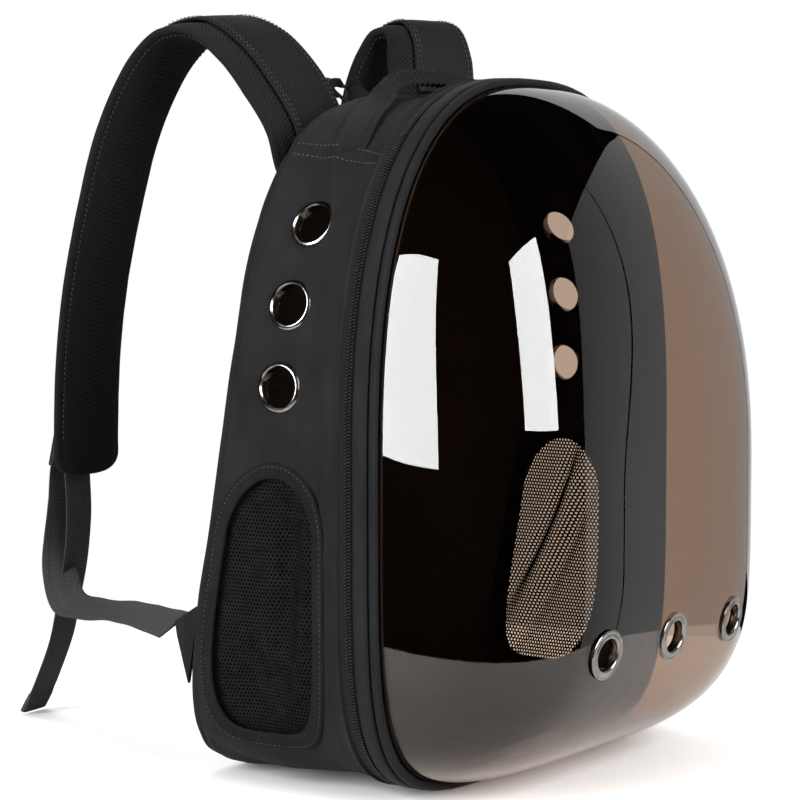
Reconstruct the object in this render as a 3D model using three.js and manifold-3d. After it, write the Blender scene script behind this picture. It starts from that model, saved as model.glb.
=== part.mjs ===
// Bubble pet carrier backpack: a cloth body with a clear domed front, side vents
// and mesh windows, a padded back and two padded shoulder straps.
// Millimetres, +Z up, the dome faces -Y and the shoulder straps hang at +Y.
import * as THREE from "three";
import { mergeVertices } from "three/addons/utils/BufferGeometryUtils.js";
import Module from "manifold-3d";

// Front outline: half an ellipse-like curve above the widest height, a squarer one below
const halfWidth = 165;
const outlineHeight = 420;
const widestHeight = 195;
const topPower = 2.55;
const bottomPower = 5.09;
const rimProud = 5.5; // how far the front band stands out of the dome's outline, also below it
const around = 48; // steps round the outline

// Depths behind the front plane, where the dome meets the piping
const pipingFront = -1.5;
const pipingWidth = 5.6;
const bandWidth = 10.6;
const zipperWidth = 10.4;
const coilWidth = 5.2;
const topDepth = 109.5; // front plane to the back, at the top
const backLean = 0.19; // how much deeper the body gets for each millimetre further down
const leanKnee = 255; // height where the back starts to lean
const leanSoftness = 25;

// Walls and thicknesses
const domeWall = 2.5;
const clothWall = 2.6;
const tapeWall = 1.5;
const meshWall = 1.4;
const bindingWall = 2;
const backPadding = 13;
const seam = 0.35; // gap left where two pieces are sewn or seated together
const strapSeam = 0.7; // between a shoulder strap's pad and its woven band, which twist
const seatGap = 1; // gap from a curved wall to a strip sewn over it
const meshGap = 1.3; // and to the mesh behind it, which spans flatter

// Dome
const domeDepth = 104;
const domeSkirt = 12; // length of the dome's edge hidden inside the front band
const domeCentre = 146; // height that the dome's rings shrink towards
const domeRoundness = 1.75;
const domeWidePower = 5; // the higher, the flatter the dome's front from side to side
const domeTallPower = 3.3; // and from top to bottom
const domeRings = 7;

// Vents: eyelets in both sides and along the dome's lower front
const sideEyeletHole = 12; // radius
const sideEyeletFlange = 2.6;
const domeEyeletHole = 9.4;
const domeEyeletFlange = 5.4;
const eyeletHeight = 2.2;
const eyeletSides = 10;

// Mesh windows
const windowFront = 37.5;
const windowBackMargin = 9; // cloth left between the window and the back edge
const windowSpring = 150; // height where the arch starts, above the outline's lowest point
const windowArch = 45.5;
const windowDrop = 128; // from the spring down to the window's lower edge
const windowBorder = 9.5;
const meshOverlap = 3;

// Shoulder straps
const strapOffset = 62; // centre of each strap from the middle
const padWidth = 62;
const padThickness = 7.4;
const padCrown = 0.6;
const bandAcross = 43; // woven band sewn on the pad's outer face
const bandThickness = 2.6;
const bandCrown = 0.6;
const strapRootDown = 70; // the straps' sewn ends below the outline's highest point
const strapRoot = outlineHeight - strapRootDown;
const strapRise = 113; // from the sewn end up to the middle of the arch
const leftSwing = 209; // how far behind its root the left strap hangs
const leftDrop = 284; // from the arch down to the pad's end
const rightSwing = 82;
const rightDrop = 346;

// Webbing and buckles
const webbingWidth = 25;
const webbingThickness = 1.6;
const hemThickness = 4.6;
const buckleRail = 3.2;
const buckleBar = 2.6;
const buckleHeight = 30;
const buckleDepth = 4;
const tabHeight = 50;
const tabReach = 15;
const tabMiddle = 80; // height above the outline's lowest point
const tabThickness = 3;

// Carrying handle and hanging loop
const handleDepth = 74; // behind the front plane
const handleEnd = 111; // from the middle out to the webbing's sewn ends
const handleFlat = 27; // width of the webbing where it lies flat
const handleFolded = 19; // and where it is folded into a tent
const handlePeak = 8; // height of the fold
const handleRise = 6;
const handleWall = 2;
const handleGap = 1.1;
const loopSpan = 25;
const loopWidth = 16;
const loopReach = 44;

// Zip sliders, on the right side
const sliderLength = 11;
const sliderHeight = 2.4;
const pullLength = 22;

// Colours
const blackCloth = new THREE.MeshStandardMaterial({ color: 0x1c1c1e, roughness: 0.85, metalness: 0 });
const blackPadding = new THREE.MeshStandardMaterial({ color: 0x151516, roughness: 0.95, metalness: 0 });
const blackWebbing = new THREE.MeshStandardMaterial({ color: 0x2a2a2d, roughness: 0.75, metalness: 0 });
const blackMesh = new THREE.MeshStandardMaterial({ color: 0x202021, roughness: 0.9, metalness: 0 });
const blackPlastic = new THREE.MeshStandardMaterial({ color: 0x111112, roughness: 0.45, metalness: 0 });
const smokedPlastic = new THREE.MeshStandardMaterial({
  color: 0xb0988a,
  roughness: 0.05,
  metalness: 0,
  transparent: true,
  opacity: 0.4,
});
const darkNickel = new THREE.MeshStandardMaterial({ color: 0x77736f, roughness: 0.25, metalness: 1 });

const mix = (a, b, share) => a + (b - a) * share;
const point = (x, y, z) => new THREE.Vector3(x, y, z);
const lowest = rimProud; // the outline's lowest point stands this far above the ground
const widest = lowest + widestHeight;

const wasm = await Module();
wasm.setup();

const carrier = new THREE.Group();

function addPiece(name, geometry, material) {
  const mesh = new THREE.Mesh(geometry, material);
  mesh.name = name;
  carrier.add(mesh);
}

// A closed surface through rings of points, each with an even number of points.
// Joined rings make a hoop; otherwise the ends are closed, point k against point n-1-k.
function skin(rings, joined = false) {
  const count = rings[0].length;
  const index = [];
  const quad = (a, b, c, d) => index.push(a, b, c, a, c, d);
  const last = joined ? rings.length : rings.length - 1;
  for (let i = 0; i < last; i++)
    for (let k = 0; k < count; k++) {
      const here = i * count;
      const next = ((i + 1) % rings.length) * count;
      const after = (k + 1) % count;
      quad(here + k, here + after, next + after, next + k);
    }
  if (!joined) {
    const end = (rings.length - 1) * count;
    for (let k = 0; k < count / 2 - 1; k++) {
      quad(k, count - 1 - k, count - 2 - k, k + 1);
      quad(end + k, end + k + 1, end + count - 2 - k, end + count - 1 - k);
    }
  }
  const geometry = new THREE.BufferGeometry().setFromPoints(rings.flat());
  geometry.setIndex(index);
  return faceOut(tidy(geometry));
}

// Merges equal points and drops the triangles that this leaves without area
function tidy(geometry) {
  geometry.deleteAttribute("normal");
  geometry.deleteAttribute("uv");
  const merged = mergeVertices(geometry, 1e-3);
  const old = merged.index.array;
  const kept = [];
  for (let i = 0; i < old.length; i += 3) {
    const [a, b, c] = [old[i], old[i + 1], old[i + 2]];
    if (a !== b && b !== c && c !== a) kept.push(a, b, c);
  }
  merged.setIndex(kept);
  return merged;
}

// Turns a closed surface so that its faces point out
function faceOut(geometry) {
  const places = geometry.attributes.position;
  const index = geometry.index.array;
  const [a, b, c] = [point(0, 0, 0), point(0, 0, 0), point(0, 0, 0)];
  let volume = 0;
  for (let i = 0; i < index.length; i += 3) {
    a.fromBufferAttribute(places, index[i]);
    b.fromBufferAttribute(places, index[i + 1]);
    c.fromBufferAttribute(places, index[i + 2]);
    volume += a.dot(b.cross(c));
  }
  if (volume < 0)
    for (let i = 0; i < index.length; i += 3) [index[i + 1], index[i + 2]] = [index[i + 2], index[i + 1]];
  return geometry;
}

function toSolid(geometry) {
  const merged = tidy(geometry);
  const vertProperties = merged.attributes.position.array;
  const triVerts = new Uint32Array(merged.index.array);
  return new wasm.Manifold(new wasm.Mesh({ numProp: 3, vertProperties, triVerts }));
}

function toGeometry(solid) {
  const mesh = solid.getMesh();
  const geometry = new THREE.BufferGeometry();
  geometry.setAttribute("position", new THREE.BufferAttribute(mesh.vertProperties, 3));
  geometry.setIndex(new THREE.BufferAttribute(mesh.triVerts, 1));
  return geometry;
}

// The front outline grown by an outset, at an angle from +X towards +Z
function outlinePoint(angle, outset) {
  const across = Math.abs(Math.cos(angle)) / (halfWidth + outset);
  const tall = Math.sin(angle) >= 0 ? outlineHeight - widestHeight : widestHeight;
  const upright = Math.abs(Math.sin(angle)) / (tall + outset);
  const power = Math.sin(angle) >= 0 ? topPower : bottomPower;
  const radius = (across ** power + upright ** power) ** (-1 / power);
  return { x: radius * Math.cos(angle), z: widest + radius * Math.sin(angle) };
}

// Half the outline's width at a height, grown by an outset
function widthAt(z, outset) {
  const tall = z >= widest ? outlineHeight - widestHeight : widestHeight;
  const power = z >= widest ? topPower : bottomPower;
  const share = Math.min(Math.abs(z - widest) / (tall + outset), 1);
  return (halfWidth + outset) * (1 - share ** power) ** (1 / power);
}

// Angles in equal steps, drawn together towards the corners of a squarish outline of
// the given half width and height; the lower the power, the closer
function gathered(steps, start, wide, tall, power) {
  return Array.from({ length: steps }, (_, i) => {
    const turn = ((i + start) * 2 * Math.PI) / steps;
    const half = Math.sin(turn) > 0 ? 0 : 1;
    const across = Math.sign(Math.cos(turn)) * Math.abs(Math.cos(turn)) ** power[half];
    const upright = Math.sign(Math.sin(turn)) * Math.abs(Math.sin(turn)) ** power[half];
    return Math.atan2(upright * tall[half], across * wide);
  });
}

const angles = gathered(around, 0.5, halfWidth, [outlineHeight - widestHeight, widestHeight], [0.85, 0.5]);

// A hoop that follows the outline, with a section of [outset, depth] corners
function hoop(section) {
  const ring = (angle) =>
    section.map(([outset, depth]) => {
      const { x, z } = outlinePoint(angle, outset);
      return point(x, depth, z);
    });
  return skin(angles.map(ring), true);
}

// Depth of the back at a height: even at the top, leaning out towards the base
function backAt(z) {
  const below = (lowest + leanKnee - z) / leanSoftness;
  return topDepth + backLean * leanSoftness * Math.log(1 + Math.exp(below));
}

// Front band, piping and zip
const bandFront = pipingFront + pipingWidth + seam;
const bandBack = bandFront + bandWidth;
const zipperFront = bandBack + seam;
const zipperBack = zipperFront + zipperWidth;
const gussetFront = zipperBack + seam;
const pipingCrown = 4.8;
const coilCrown = 5.1;
const tapeOutset = 3.6;

function frontHoops() {
  const inner = seam;
  const pipingBack = pipingFront + pipingWidth;
  addPiece(
    "front_piping",
    hoop([
      [inner, pipingFront + 0.6],
      [pipingCrown * 0.6, pipingFront],
      [pipingCrown, pipingFront + pipingWidth * 0.6],
      [pipingCrown * 0.8, pipingBack],
      [inner, pipingBack],
    ]),
    blackCloth,
  );
  addPiece(
    "front_band",
    hoop([
      [inner, bandFront],
      [rimProud - 1.2, bandFront],
      [rimProud, bandFront + 1.6],
      [rimProud, bandBack - 1.6],
      [rimProud - 1.2, bandBack],
      [inner, bandBack],
    ]),
    blackCloth,
  );
  addPiece(
    "zipper_tape",
    hoop([
      [tapeOutset - tapeWall, zipperFront],
      [tapeOutset, zipperFront],
      [tapeOutset, zipperBack],
      [tapeOutset - tapeWall, zipperBack],
    ]),
    blackWebbing,
  );
  const coilFront = zipperFront + 0.6;
  addPiece(
    "zipper_coil",
    hoop([
      [tapeOutset + seam, coilFront],
      [coilCrown, coilFront + 0.8],
      [coilCrown, coilFront + coilWidth - 0.8],
      [tapeOutset + seam, coilFront + coilWidth],
    ]),
    blackPlastic,
  );
}

// Gusset: the cloth loop of the body. A row for each step from front to back,
// with the outset of the outline under, beside and over the body.
const gussetRows = [
  { deep: 0, under: 5, side: 5, over: 5 },
  { deep: 0.09, under: 1.8, side: 1.5, over: 0.5 },
  { deep: 0.26, under: 2, side: -1, over: -4.5 },
  { deep: 0.64, under: 6, side: 0, over: -4 },
  { deep: 0.88, under: 6.6, side: 0.5, over: -2 },
  { deep: 0.965, under: 4.5, side: -0.5, over: -3.5 },
  { deep: 1, under: -3, side: -6, over: -8 },
];
const backRow = gussetRows.at(-1);
const backEdge = halfWidth + backRow.side - clothWall / 2; // middle of the gusset's back edge

function gussetOutset(row, z) {
  if (z >= widest) return mix(row.side, row.over, ((z - widest) / (outlineHeight - widestHeight)) ** 1.5);
  return mix(row.side, row.under, ((widest - z) / widestHeight) ** 3);
}

// Outset of the gusset's outer face at a depth and height, between its rows
function gussetOutsetAt(depth, z) {
  const deep = (depth - gussetFront) / (backAt(z) - gussetFront);
  const next = gussetRows.findIndex((row) => row.deep >= deep);
  const upper = gussetRows[Math.max(next, 1)];
  const lower = gussetRows[Math.max(next, 1) - 1];
  const share = (deep - lower.deep) / (upper.deep - lower.deep);
  return mix(gussetOutset(lower, z), gussetOutset(upper, z), share);
}

// A point on the gusset's side; side is -1 left, 1 right
function sidePoint(side, depth, z) {
  return point(side * widthAt(z, gussetOutsetAt(depth, z)), depth, z);
}

// The direction out of the gusset's side
function sideNormal(side, depth, z) {
  const step = 2;
  const along = sidePoint(side, depth + step, z).sub(sidePoint(side, depth - step, z));
  const up = sidePoint(side, depth, z + step).sub(sidePoint(side, depth, z - step));
  const normal = along.cross(up).normalize();
  return normal.x * side < 0 ? normal.negate() : normal;
}

// A point over the gusset's side, or under it where the height is negative
function overSide(side, depth, z, height) {
  return sidePoint(side, depth, z).addScaledVector(sideNormal(side, depth, z), height);
}

function gussetLoop() {
  const rings = angles.map((angle) => {
    const face = (row, wall) => {
      const level = outlinePoint(angle, gussetOutset(row, outlinePoint(angle, 0).z)).z;
      const { x, z } = outlinePoint(angle, gussetOutset(row, level) - wall);
      const depth = mix(gussetFront, backAt(z), row.deep);
      return point(x, depth - (row.deep === 1 ? wall : 0), Math.max(z, 0));
    };
    const outer = gussetRows.map((row) => face(row, 0));
    const inner = gussetRows.map((row) => face(row, clothWall));
    return [...outer, ...inner.reverse()];
  });
  return skin(rings, true);
}

// Outline of a mesh window on the side, seen from the side, grown by a margin
function windowOutline(turn, margin) {
  const up = Math.sin(turn) >= 0;
  const power = up ? 2 : 4;
  const reach = (Math.abs(Math.cos(turn)) ** power + Math.abs(Math.sin(turn)) ** power) ** (-1 / power);
  const tall = (up ? windowArch : windowDrop) + margin;
  const z = lowest + windowSpring + tall * reach * Math.sin(turn);
  const front = windowFront - margin;
  const back = backAt(z) - windowBackMargin + margin;
  return { depth: mix(front, back, (1 + reach * Math.cos(turn)) / 2), z };
}

const windowSteps = 24;
const windowTurns = gathered(windowSteps, 0.5, 1, [1, 1], [1, 0.6]);

function windowCut(side) {
  const corners = windowTurns.map((turn) => {
    const { depth, z } = windowOutline(turn, -windowBorder / 2);
    return new THREE.Vector2(depth, z);
  });
  const reach = halfWidth * 0.5;
  const cut = new THREE.ExtrudeGeometry(new THREE.Shape(corners), { depth: reach, bevelEnabled: false });
  cut.applyMatrix4(new THREE.Matrix4().makeBasis(point(0, 1, 0), point(0, 0, 1), point(1, 0, 0)));
  cut.translate(side > 0 ? halfWidth + 20 - reach : -halfWidth - 20, 0, 0);
  return toSolid(cut);
}

// Side eyelets: a row for each, as shares of the depth at the top and of the outline's height
const sideEyelets = [
  { name: "upper", deep: 0.586, up: 0.7976 },
  { name: "middle", deep: 0.63, up: 0.6857 },
  { name: "lower", deep: 0.659, up: 0.5714 },
];

function eyeletPlace(side, { deep, up }) {
  const depth = deep * topDepth;
  const z = lowest + up * outlineHeight;
  return { centre: sidePoint(side, depth, z), normal: sideNormal(side, depth, z) };
}

function aimed(geometry, centre, normal) {
  geometry.applyQuaternion(new THREE.Quaternion().setFromUnitVectors(point(0, 0, 1), normal));
  return geometry.translate(centre.x, centre.y, centre.z);
}

function drill(radius, centre, normal) {
  const length = 40;
  const rod = new THREE.CylinderGeometry(radius, radius, length, eyeletSides);
  return toSolid(aimed(rod.rotateX(Math.PI / 2), centre, normal));
}

// A pressed ring: a barrel through the wall with a rounded flange outside
function eyelet(hole, flange, wall, centre, normal) {
  const barrel = hole + 1;
  const seat = seam + 0.35;
  const section = [
    [hole, -wall - 1],
    [barrel, -wall - 1],
    [barrel, seat],
    [hole + flange, seat],
    [hole + flange * 0.6, eyeletHeight],
    [hole, seat],
    [hole, -wall - 1],
  ];
  const profile = section.map(([r, h]) => new THREE.Vector2(r, h));
  const ring = new THREE.LatheGeometry(profile, eyeletSides).rotateX(Math.PI / 2);
  return faceOut(tidy(aimed(ring, centre, normal)));
}

// The windows' mesh sags between its seams: a row for each dent or swell, placed
// along the window's depth and height, with its spread and how far it sinks in
const meshSags = [
  { across: 0.62, up: 0.55, wide: 0.1, tall: 0.6, sink: -3 },
  { across: 0.45, up: 0.16, wide: 0.22, tall: 0.16, sink: 7 },
  { across: 0.2, up: 0.62, wide: 0.16, tall: 0.4, sink: 3.5 },
];

function meshSink(depth, z) {
  const across = (depth - windowFront) / (backAt(z) - windowBackMargin - windowFront);
  const up = (z - lowest - windowSpring + windowDrop) / (windowDrop + windowArch);
  const sags = meshSags.map((sag) => {
    const far = ((across - sag.across) / sag.wide) ** 2 + ((up - sag.up) / sag.tall) ** 2;
    return sag.sink * Math.exp(-far);
  });
  return sags.reduce((sum, sink) => sum + sink, 0);
}

const meshRings = [1, 0.72, 0.38, 0];

function windowMesh(side) {
  const middle = windowOutline(0, 0);
  const centre = { depth: mix(windowFront, middle.depth, 0.5), z: lowest + windowSpring - windowDrop * 0.3 };
  const face = (share, sunk) =>
    windowTurns.map((turn) => {
      const edge = windowOutline(turn, meshOverlap - windowBorder / 2);
      const depth = mix(centre.depth, edge.depth, share);
      const z = mix(centre.z, edge.z, share);
      const sag = (1 - share ** 4) * meshSink(depth, z);
      const normal = sideNormal(side, depth, z);
      const wall = clothWall * (Math.abs(normal.x) + Math.abs(normal.z));
      return sidePoint(side, depth, z).addScaledVector(normal, -(wall + meshGap + sunk + sag));
    });
  const outer = meshRings.map((share) => face(share, 0)).reverse();
  const inner = meshRings.map((share) => face(share, meshWall));
  return skin([...outer, ...inner]);
}

function windowBinding(side) {
  const rings = windowTurns.map((turn) => {
    const corner = (margin, height) => {
      const { depth, z } = windowOutline(turn, margin);
      return overSide(side, depth, z, height);
    };
    return [
      corner(-windowBorder, -clothWall),
      corner(-windowBorder, 0.4),
      corner(-windowBorder / 2, bindingWall),
      corner(0, bindingWall * 0.7),
      corner(0, seatGap),
      corner(-windowBorder / 2 - seatGap, seatGap),
    ];
  });
  return skin(rings, true);
}

function body() {
  let gusset = toSolid(gussetLoop());
  for (const [side, hand] of [
    [-1, "left"],
    [1, "right"],
  ]) {
    gusset = gusset.subtract(windowCut(side));
    addPiece(hand + "_window_mesh", windowMesh(side), blackMesh);
    addPiece(hand + "_window_binding", windowBinding(side), blackCloth);
    for (const row of sideEyelets) {
      const { centre, normal } = eyeletPlace(side, row);
      gusset = gusset.subtract(drill(sideEyeletHole + 1 + seam, centre, normal));
      const ring = eyelet(sideEyeletHole, sideEyeletFlange, clothWall, centre, normal);
      addPiece(`${hand}_eyelet_${row.name}`, ring, darkNickel);
    }
  }
  addPiece("gusset", toGeometry(gusset), blackCloth);
}

// Back panel: a padded board set in the gusset's turned-in back edge
const panelCrown = 5;
const panelSunk = 1;
const panelRounding = 1.2;

function panelFace(x, z) {
  const reach = Math.hypot(x / halfWidth, (z - widest) / (outlineHeight / 2));
  return backAt(z) + panelCrown * Math.max(0, 1 - reach ** 2) - panelSunk;
}

function backPanel() {
  const shares = [0, 0.35, 0.65, 0.88, 1];
  const ring = (share, back) =>
    angles.map((angle) => {
      const level = outlinePoint(angle, backRow.side).z;
      const edge = outlinePoint(angle, gussetOutset(backRow, level) - clothWall - seam);
      const x = edge.x * share;
      const z = mix(widest, edge.z, share);
      const rear = panelFace(x, z) - (share === 1 ? panelRounding : 0);
      return point(x, back ? rear : backAt(z) - backPadding, z);
    });
  const rear = shares.map((share) => ring(share, true));
  const front = shares.map((share) => ring(share, false)).reverse();
  return skin([...rear, ...front]);
}

// Dome: the outline shrunk ring by ring towards the front, with a straight skirt behind
function domePoint(angle, forward, inset) {
  const edge = outlinePoint(angle, -inset);
  const left = Math.max(0, 1 - forward ** domeRoundness);
  const depth = -(domeDepth - inset) * forward;
  const z = mix(lowest + domeCentre, edge.z, left ** (1 / domeTallPower));
  return point(edge.x * left ** (1 / domeWidePower), depth, z);
}

function domeShell() {
  const steps = Array.from({ length: domeRings + 1 }, (_, i) => {
    const narrowed = Math.cos((i / domeRings) * (Math.PI / 2));
    return i === domeRings ? 1 : (1 - narrowed ** domeWidePower) ** (1 / domeRoundness);
  });
  const ring = (forward, inset) => angles.map((angle) => domePoint(angle, forward, inset));
  const skirt = (inset) => ring(0, inset).map((p) => point(p.x, domeSkirt, p.z));
  const outer = [skirt(0), ...steps.map((step) => ring(step, 0))];
  const inner = [skirt(domeWall), ...steps.map((step) => ring(step, domeWall))].reverse();
  return skin([...outer, ...inner], true);
}

// Dome eyelets: angle round the outline and how far forward they sit
const domeEyelets = [
  { name: "left", turn: -125.9, forward: 0.959 },
  { name: "centre", turn: -90, forward: 0.971 },
  { name: "right", turn: -54.1, forward: 0.959 },
];

function dome() {
  let shell = toSolid(domeShell());
  const step = 0.01;
  for (const row of domeEyelets) {
    const turn = THREE.MathUtils.degToRad(row.turn);
    const centre = domePoint(turn, row.forward, 0);
    const sideways = domePoint(turn + step, row.forward, 0).sub(domePoint(turn - step, row.forward, 0));
    const along = domePoint(turn, row.forward + step, 0).sub(domePoint(turn, row.forward - step, 0));
    const normal = sideways.cross(along).normalize();
    if (normal.y > 0) normal.negate();
    shell = shell.subtract(drill(domeEyeletHole + 1 + seam, centre, normal));
    const ring = eyelet(domeEyeletHole, domeEyeletFlange, domeWall, centre, normal);
    addPiece("dome_eyelet_" + row.name, ring, darkNickel);
  }
  addPiece("dome", toGeometry(shell), smokedPlastic);
}

// A strip through stations, each with its centre, width direction, face normal,
// width and thickness; where a crown is given, the faces swell between their edges
function strip(stations) {
  const rings = stations.map(({ centre, across, normal, width, thickness, crown }) => {
    const at = (share, height) =>
      centre
        .clone()
        .addScaledVector(across, (width / 2) * share)
        .addScaledVector(normal, height);
    const half = thickness / 2;
    const face = (way) =>
      crown === undefined
        ? [at(-1, way * half), at(1, way * half)]
        : [
            at(-1, way * half * 0.55),
            at(-0.88, way * half),
            at(0, way * (half + crown)),
            at(0.88, way * half),
            at(1, way * half * 0.55),
          ];
    return [...face(1), ...face(-1).reverse()];
  });
  return skin(rings);
}

// Stations along a curve through places, each with its centre, the direction that a
// strip's width takes there and the normal of its outer face. Steps are even along the
// curve, or two from each place to the next where none are given. The callback gives the
// width's direction from the position in the table of places and the curve's direction.
function stationsAlong(places, steps, widthDirection) {
  const curve = new THREE.CatmullRomCurve3(places, false, "centripetal");
  const count = steps ?? (places.length - 1) * 2;
  return Array.from({ length: count + 1 }, (_, i) => {
    const spot = steps ? curve.getUtoTmapping(i / count) : i / count;
    const along = curve.getTangent(spot);
    const across = widthDirection(spot * (places.length - 1), along);
    across.addScaledVector(along, -across.dot(along)).normalize();
    return { centre: curve.getPoint(spot), along, across, normal: along.clone().cross(across).negate() };
  });
}

// The value of a column between two rows of a table
function between(rows, column, position) {
  const row = Math.min(Math.floor(position), rows.length - 2);
  return mix(rows[row][column], rows[row + 1][column], position - row);
}

// Shoulder strap routes: out is a share of the swing behind the root, rise a share of
// the height from root to arch, drop a share of the height from the arch down to the
// pad's end; twist turns the width, in degrees
const leftRoute = [
  { out: 0, rise: 0, twist: 0 },
  { out: 0.052, rise: 0.177, twist: 6 },
  { out: 0.081, rise: 0.407, twist: 12 },
  { out: 0.167, rise: 0.655, twist: 17 },
  { out: 0.287, rise: 0.876, twist: 14 },
  { out: 0.425, rise: 1, twist: 6 },
  { out: 0.554, drop: 0.011, twist: 0 },
  { out: 0.655, drop: 0.063, twist: 0 },
  { out: 0.751, drop: 0.158, twist: 0 },
  { out: 0.819, drop: 0.257, twist: 0 },
  { out: 0.861, drop: 0.345, twist: 0 },
  { out: 0.949, drop: 0.581, twist: 0 },
  { out: 0.988, drop: 0.775, twist: 0 },
  { out: 1, drop: 0.968, twist: 0 },
  { out: 1, drop: 1, twist: 0 },
];
const rightRoute = [
  { out: 0, rise: 0, twist: 0 },
  { out: 0.04, rise: 0.307, twist: 4 },
  { out: 0.057, rise: 0.57, twist: 21 },
  { out: 0.093, rise: 0.807, twist: 28 },
  { out: 0.151, rise: 0.96, twist: 18 },
  { out: 0.268, rise: 1.025, twist: 2 },
  { out: 0.421, rise: 1, twist: -2 },
  { out: 0.547, drop: 0.03, twist: 0 },
  { out: 0.662, drop: 0.08, twist: 0 },
  { out: 0.749, drop: 0.15, twist: 0 },
  { out: 0.835, drop: 0.257, twist: 0 },
  { out: 0.903, drop: 0.387, twist: 0 },
  { out: 0.966, drop: 0.56, twist: 0 },
  { out: 1, drop: 0.763, twist: 0 },
  { out: 1, drop: 1, twist: 0 },
];
const padBulk = padThickness + 2 * padCrown;
const bandBulk = bandThickness + 2 * bandCrown;
const strapBulk = padBulk + strapSeam + bandBulk;
const padSink = (strapBulk - padBulk) / 2; // from the strap's middle in to the pad's
const bandRaise = (strapBulk - bandBulk) / 2; // and out to the woven band's
const rootFace = panelFace(strapOffset - padWidth / 2, lowest + strapRoot);
const rootDepth = rootFace + seam + padBulk / 2 - padSink;
const archHeight = lowest + strapRoot + strapRise;

function strapStations(side, swing, drop, route) {
  const places = route.map((row) => {
    const fall = row.rise === undefined ? row.drop * drop : (1 - row.rise) * strapRise;
    return point(side * strapOffset, rootDepth + row.out * swing, archHeight - fall);
  });
  return stationsAlong(places, strapSteps, (position, along) => {
    const turn = THREE.MathUtils.degToRad(between(route, "twist", position));
    return point(1, 0, 0).applyAxisAngle(along, -turn);
  });
}

const strapSteps = 18;
const bandShift = (padWidth - bandAcross) * 0.42; // off the pad's middle, towards +X
const endLength = padWidth * 0.22;
const endRows = [
  { past: 0.5, narrow: 0.88 },
  { past: 0.85, narrow: 0.62 },
  { past: 1, narrow: 0.4 },
];

function shoulderStrap(side, hand, swing, drop, route) {
  const stations = strapStations(side, swing, drop, route);
  const shifted = (station, raise, sideways) =>
    station.centre.clone().addScaledVector(station.normal, raise).addScaledVector(station.across, sideways);
  const pad = stations.map((station) => ({
    ...station,
    centre: shifted(station, -padSink, 0),
    width: padWidth,
    thickness: padThickness,
    crown: padCrown,
  }));
  const last = pad.at(-1);
  const rounding = endRows.map(({ past, narrow }) => ({
    ...last,
    centre: last.centre.clone().add(point(0, 0, -past * endLength)),
    width: padWidth * narrow,
    thickness: padThickness * mix(0.5, 1, narrow),
    crown: padCrown * narrow,
  }));
  addPiece(hand + "_strap_pad", strip([...pad, ...rounding]), blackPadding);
  const clearOfBody = stations.findIndex(({ centre, normal }) => {
    const face = centre.y + normal.y * (strapBulk / 2) - 3;
    return face > topDepth || centre.z > lowest + outlineHeight;
  });
  const band = stations.slice(Math.max(clearOfBody, 1)).map((station) => ({
    ...station,
    centre: shifted(station, bandRaise, bandShift),
    width: bandAcross,
    thickness: bandThickness,
    crown: bandCrown,
  }));
  addPiece(hand + "_strap_band", strip(band), blackWebbing);
  return { face: stations.at(-1).centre.y + strapBulk / 2 + seam, end: last.centre.z - endLength };
}

function block(width, depth, height, centre) {
  return toSolid(new THREE.BoxGeometry(width, depth, height).translate(centre.x, centre.y, centre.z));
}

// Ladder-lock buckle: two rails joined by three bars, hanging out from the band's lower end
const buckleInside = webbingWidth + 2;
const buckleLean = 14; // degrees

function buckle(side, hand, { face, end }) {
  const lean = THREE.MathUtils.degToRad(buckleLean);
  const outer = buckleInside + 2 * buckleRail;
  const rails = [-1, 1].map((way) => {
    const x = (way * (outer - buckleRail)) / 2;
    return block(buckleRail, buckleDepth, buckleHeight, point(x, buckleDepth / 2, -buckleHeight / 2));
  });
  const bars = [0, 0.5, 1].map((level) => {
    const z = mix(-buckleBar / 2, buckleBar / 2 - buckleHeight, level);
    return block(outer - 1, buckleBar, buckleBar, point(0, buckleDepth / 2, z));
  });
  const top = point(side * strapOffset, face, end + buckleHeight * 1.15);
  const turned = [...rails, ...bars]
    .reduce((a, b) => a.add(b))
    .rotate([buckleLean, 0, 0])
    .translate([top.x, top.y, top.z]);
  addPiece(hand + "_buckle", toGeometry(turned), blackPlastic);
  const middle = point(0, buckleDepth / 2, -buckleHeight / 2);
  return middle.applyAxisAngle(point(1, 0, 0), lean).add(top);
}

// Triangular tab that holds the webbing's lower end, sewn into the back edge
const tabHeightMiddle = lowest + tabMiddle;

function strapTab(side, hand) {
  const edge = (up) => backAt(tabHeightMiddle + up) + seam;
  const corners = [
    [edge(tabHeight / 2), tabHeight / 2],
    [edge(0) + tabReach, tabHeight * 0.26],
    [edge(0) + tabReach * 0.9, tabHeight * 0.08],
    [edge(-tabHeight / 2), -tabHeight / 2],
  ];
  const shape = new THREE.Shape(corners.map(([depth, up]) => new THREE.Vector2(depth, tabHeightMiddle + up)));
  const tab = new THREE.ExtrudeGeometry(shape, { depth: tabThickness, bevelEnabled: false });
  tab.applyMatrix4(new THREE.Matrix4().makeBasis(point(0, 1, 0), point(0, 0, 1), point(1, 0, 0)));
  tab.translate(side * backEdge - tabThickness / 2, 0, 0);
  addPiece(hand + "_strap_tab", tidy(tab), blackWebbing);
}

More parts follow.
